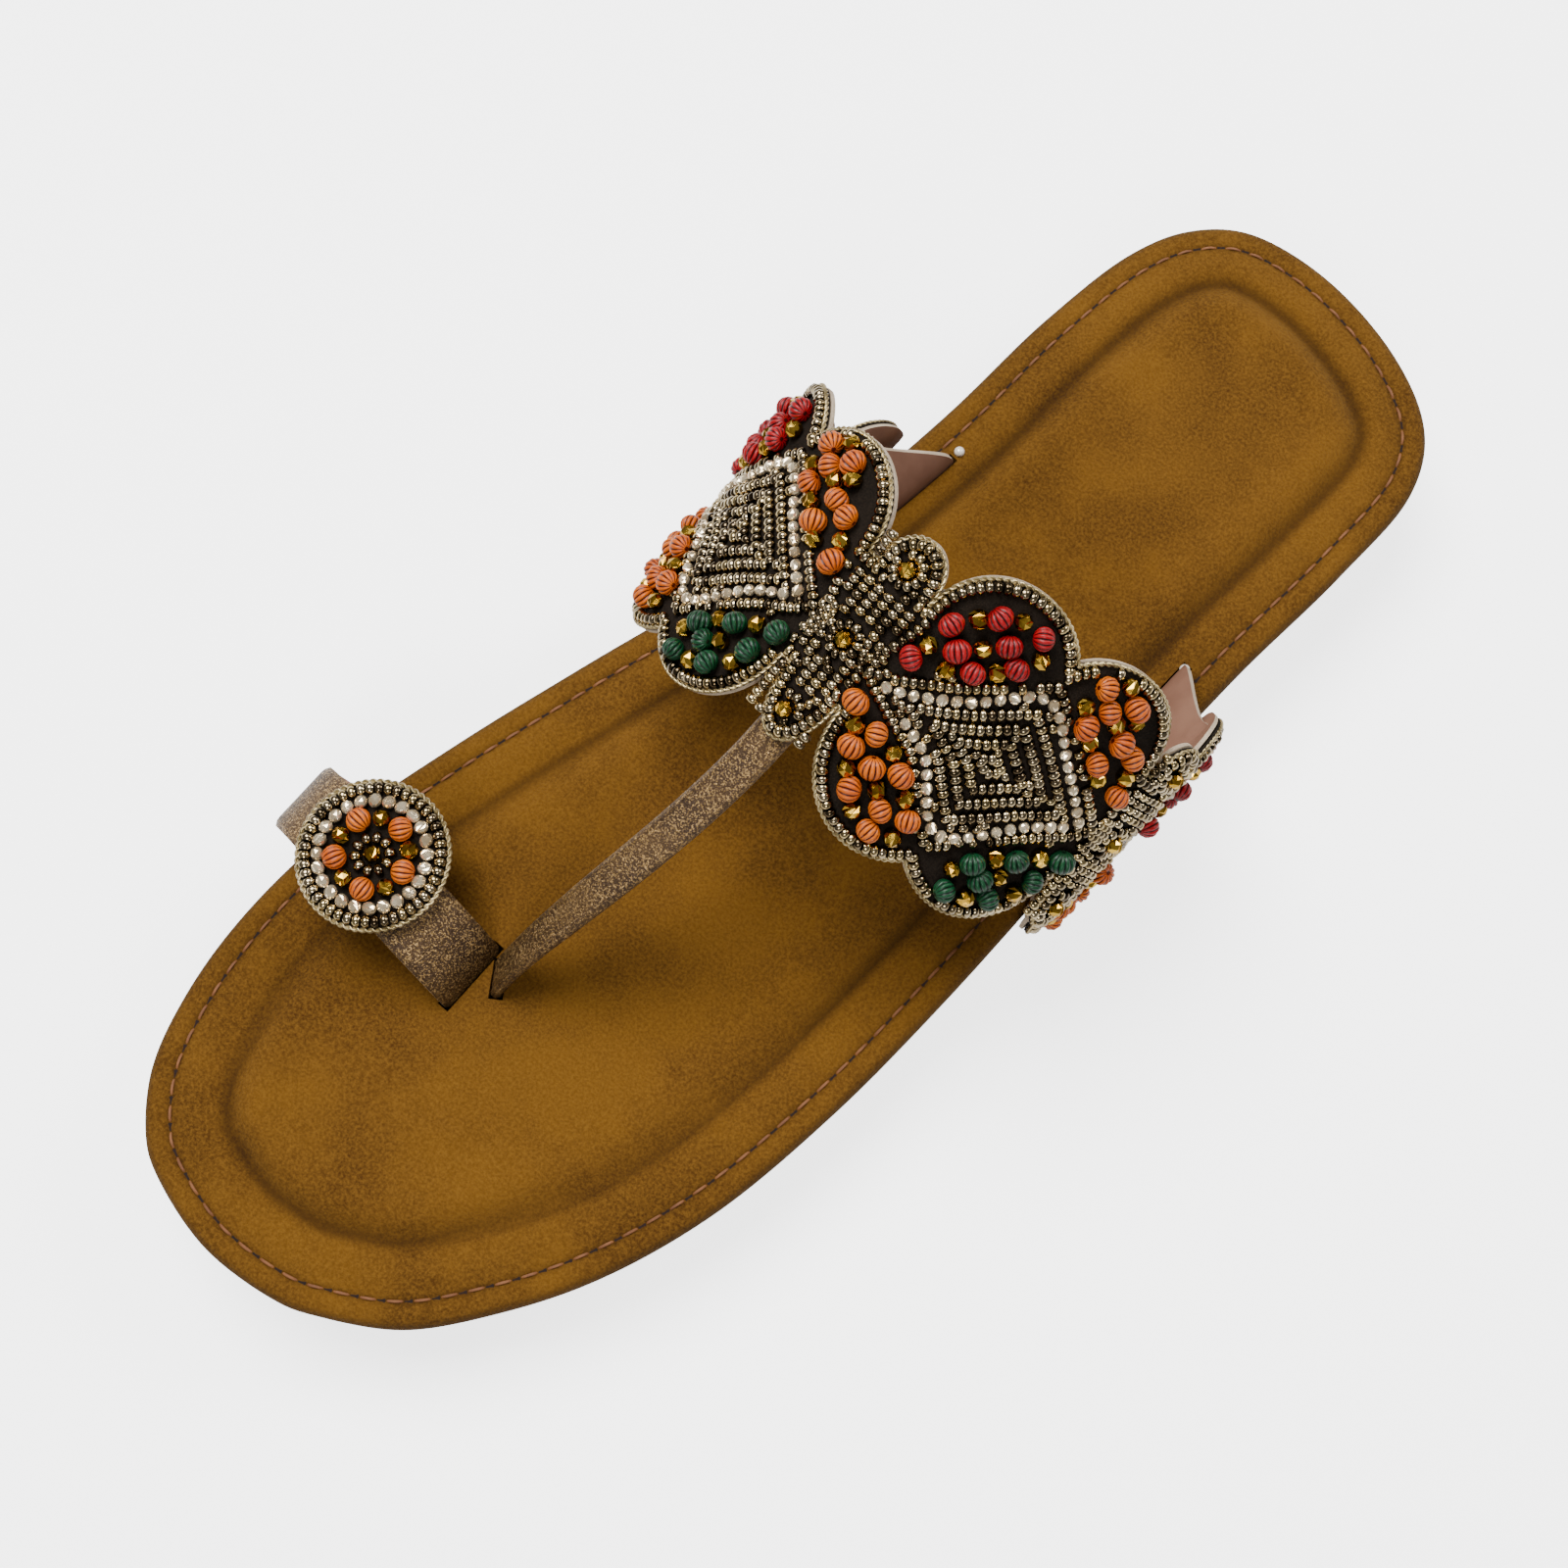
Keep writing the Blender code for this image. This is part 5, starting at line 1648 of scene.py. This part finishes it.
def buildThread(sewn, sides=8):
    section = circle(1.0, sides)
    points = []
    faces = []
    for spots in sewn:
        path = splinePath(spots[:3], 4)
        along = (spots[2] - spots[0]) / np.linalg.norm(spots[2] - spots[0])
        faces += tubeFaces(len(points), len(path), sides)
        for step, place in enumerate(path):
            rise = math.sin(math.pi * step / (len(path) - 1)) ** 0.5
            height = bedSurface(stitches["inset"], place[1]) - stitches["sink"] + stitches["rise"] * rise
            grow = stitches["radius"] * (0.55 + 0.45 * rise)
            for x, z in section:
                aside = x * grow * 1.15
                points.append((place[0] - along[1] * aside, place[1] + along[0] * aside, height + z * grow))
    addPiece("footbedThread", points, faces, [materials["thread"]], slot="footbed_suede")


# Painted shade: a flat near-black disc laid over each needle hole for the shade inside it.
def buildNeedleHoleShades(sewn, sides=10):
    points = []
    faces = []
    for x, y in (spots[3] for spots in sewn):
        start = len(points)
        level = bedSurface(stitches["inset"], y) + stitches["holeLift"]
        points += [(x + aside, y + along, level) for aside, along in circle(stitches["hole"], sides)]
        points.append((x, y, level - 0.02 * mm))
        faces += [(start + side, start + (side + 1) % sides, start + sides) for side in range(sides)]
    addPiece("needleHoleShades", points, faces, [materials["needleHoleShade"]], slot="footbed_suede")


sewnPlaces = stitchPlaces()
buildThread(sewnPlaces)
buildNeedleHoleShades(sewnPlaces)

# A pearl at the heel end of each of the band's slits; stations in millimetres from the heel.
pearl = {"stations": {"medial": 69.2, "lateral": 71.5}, "size": 1.9 * mm, "lift": 0.2 * mm}
pearls = []
for side, station in pearl["stations"].items():
    y = last["length"] / 2 - station * mm
    level = bedSurface(slits["band"]["inset"], y) + pearl["lift"]
    pearls.append({"point": np.array((slitPoint(side, y, slits["band"]["inset"])[0], y, level)),
                   "across": np.array((1.0, 0.0, 0.0)), "up": np.array((0.0, 1.0, 0.0)),
                   "along": np.array((0.0, 0.0, 1.0)), "size": (pearl["size"],) * 3})
gatherBeads("slitPearls", "crystal", pearls, ["pearl"], "footbed_suede")
print("stitches:", len(sewnPlaces), "pearls:", len(pearls))

# Pale floor, studio light and the camera of the photograph.
paper = {"half": 3.0, "drop": 0.0002, "color": (0.88, 0.88, 0.88), "roughness": 0.7,
         "glowColor": (1.0, 1.0, 1.0), "glow": 2.6}
corners = [(x * paper["half"], y * paper["half"], 0.0) for x, y in ((-1, -1), (1, -1), (1, 1), (-1, 1))]
floorMesh = bpy.data.meshes.new("studioFloor")
floorMesh.from_pydata(corners, [], [(0, 1, 2, 3)])
floor = bpy.data.objects.new("studioFloor", floorMesh)
bpy.context.collection.objects.link(floor)
floorMaterial, floorTree, floorShader = newMaterial(
    "floorPaper", {"Base Color": paper["color"], "Roughness": paper["roughness"],
                   "Emission Color": paper["glowColor"]})
seen = addNode(floorTree, "ShaderNodeLightPath")
glow = mathNode(floorTree, "MULTIPLY", seen.outputs["Is Camera Ray"], paper["glow"])
floorTree.links.new(glow, floorShader.inputs["Emission Strength"])
floorMesh.materials.append(floorMaterial)
floor.location.z = -paper["drop"]

studio = {
    "sky": 0.26,
    # where each light stands, how wide it is and its power
    "keyLight": {"place": (-0.55, 0.15, 1.20), "size": 0.85, "power": 36.0},
    "sideLight": {"place": (0.55, -0.75, 1.05), "size": 0.45, "power": 10.0},
    "backLight": {"place": (0.35, 0.95, 0.90), "size": 0.40, "power": 9.0},
    "cameraPlace": (0.065046, -0.067585, 0.373497),
    "cameraRight": (0.71718, 0.69686, -0.00654),
    "cameraUp": (-0.67547, 0.69741, 0.23949),
    "cameraBack": (0.17145, -0.16734, 0.97088),
    "lens": 50.103,
}
world = bpy.data.worlds.new("studioSky")
world.use_nodes = True
sky = world.node_tree.nodes["Background"]
sky.inputs["Color"].default_value = (1.0, 1.0, 1.0, 1.0)
sky.inputs["Strength"].default_value = studio["sky"]
bpy.context.scene.world = world
for name in ("keyLight", "sideLight", "backLight"):
    light = studio[name]
    lamp = bpy.data.lights.new(name, "AREA")
    lamp.shape = "DISK"
    lamp.size = light["size"]
    lamp.energy = light["power"]
    holder = bpy.data.objects.new(name, lamp)
    bpy.context.collection.objects.link(holder)
    holder.location = light["place"]
    holder.rotation_euler = (-Vector(light["place"])).to_track_quat("-Z", "Y").to_euler()
lens = bpy.data.cameras.new("photoCamera")
lens.lens = studio["lens"]
lens.sensor_width = 36.0
lens.clip_start = 0.01
viewer = bpy.data.objects.new("photoCamera", lens)
bpy.context.collection.objects.link(viewer)
turned = Matrix((studio["cameraRight"], studio["cameraUp"], studio["cameraBack"])).transposed()
viewer.matrix_world = Matrix.Translation(studio["cameraPlace"]) @ turned.to_4x4()
bpy.context.scene.camera = viewer
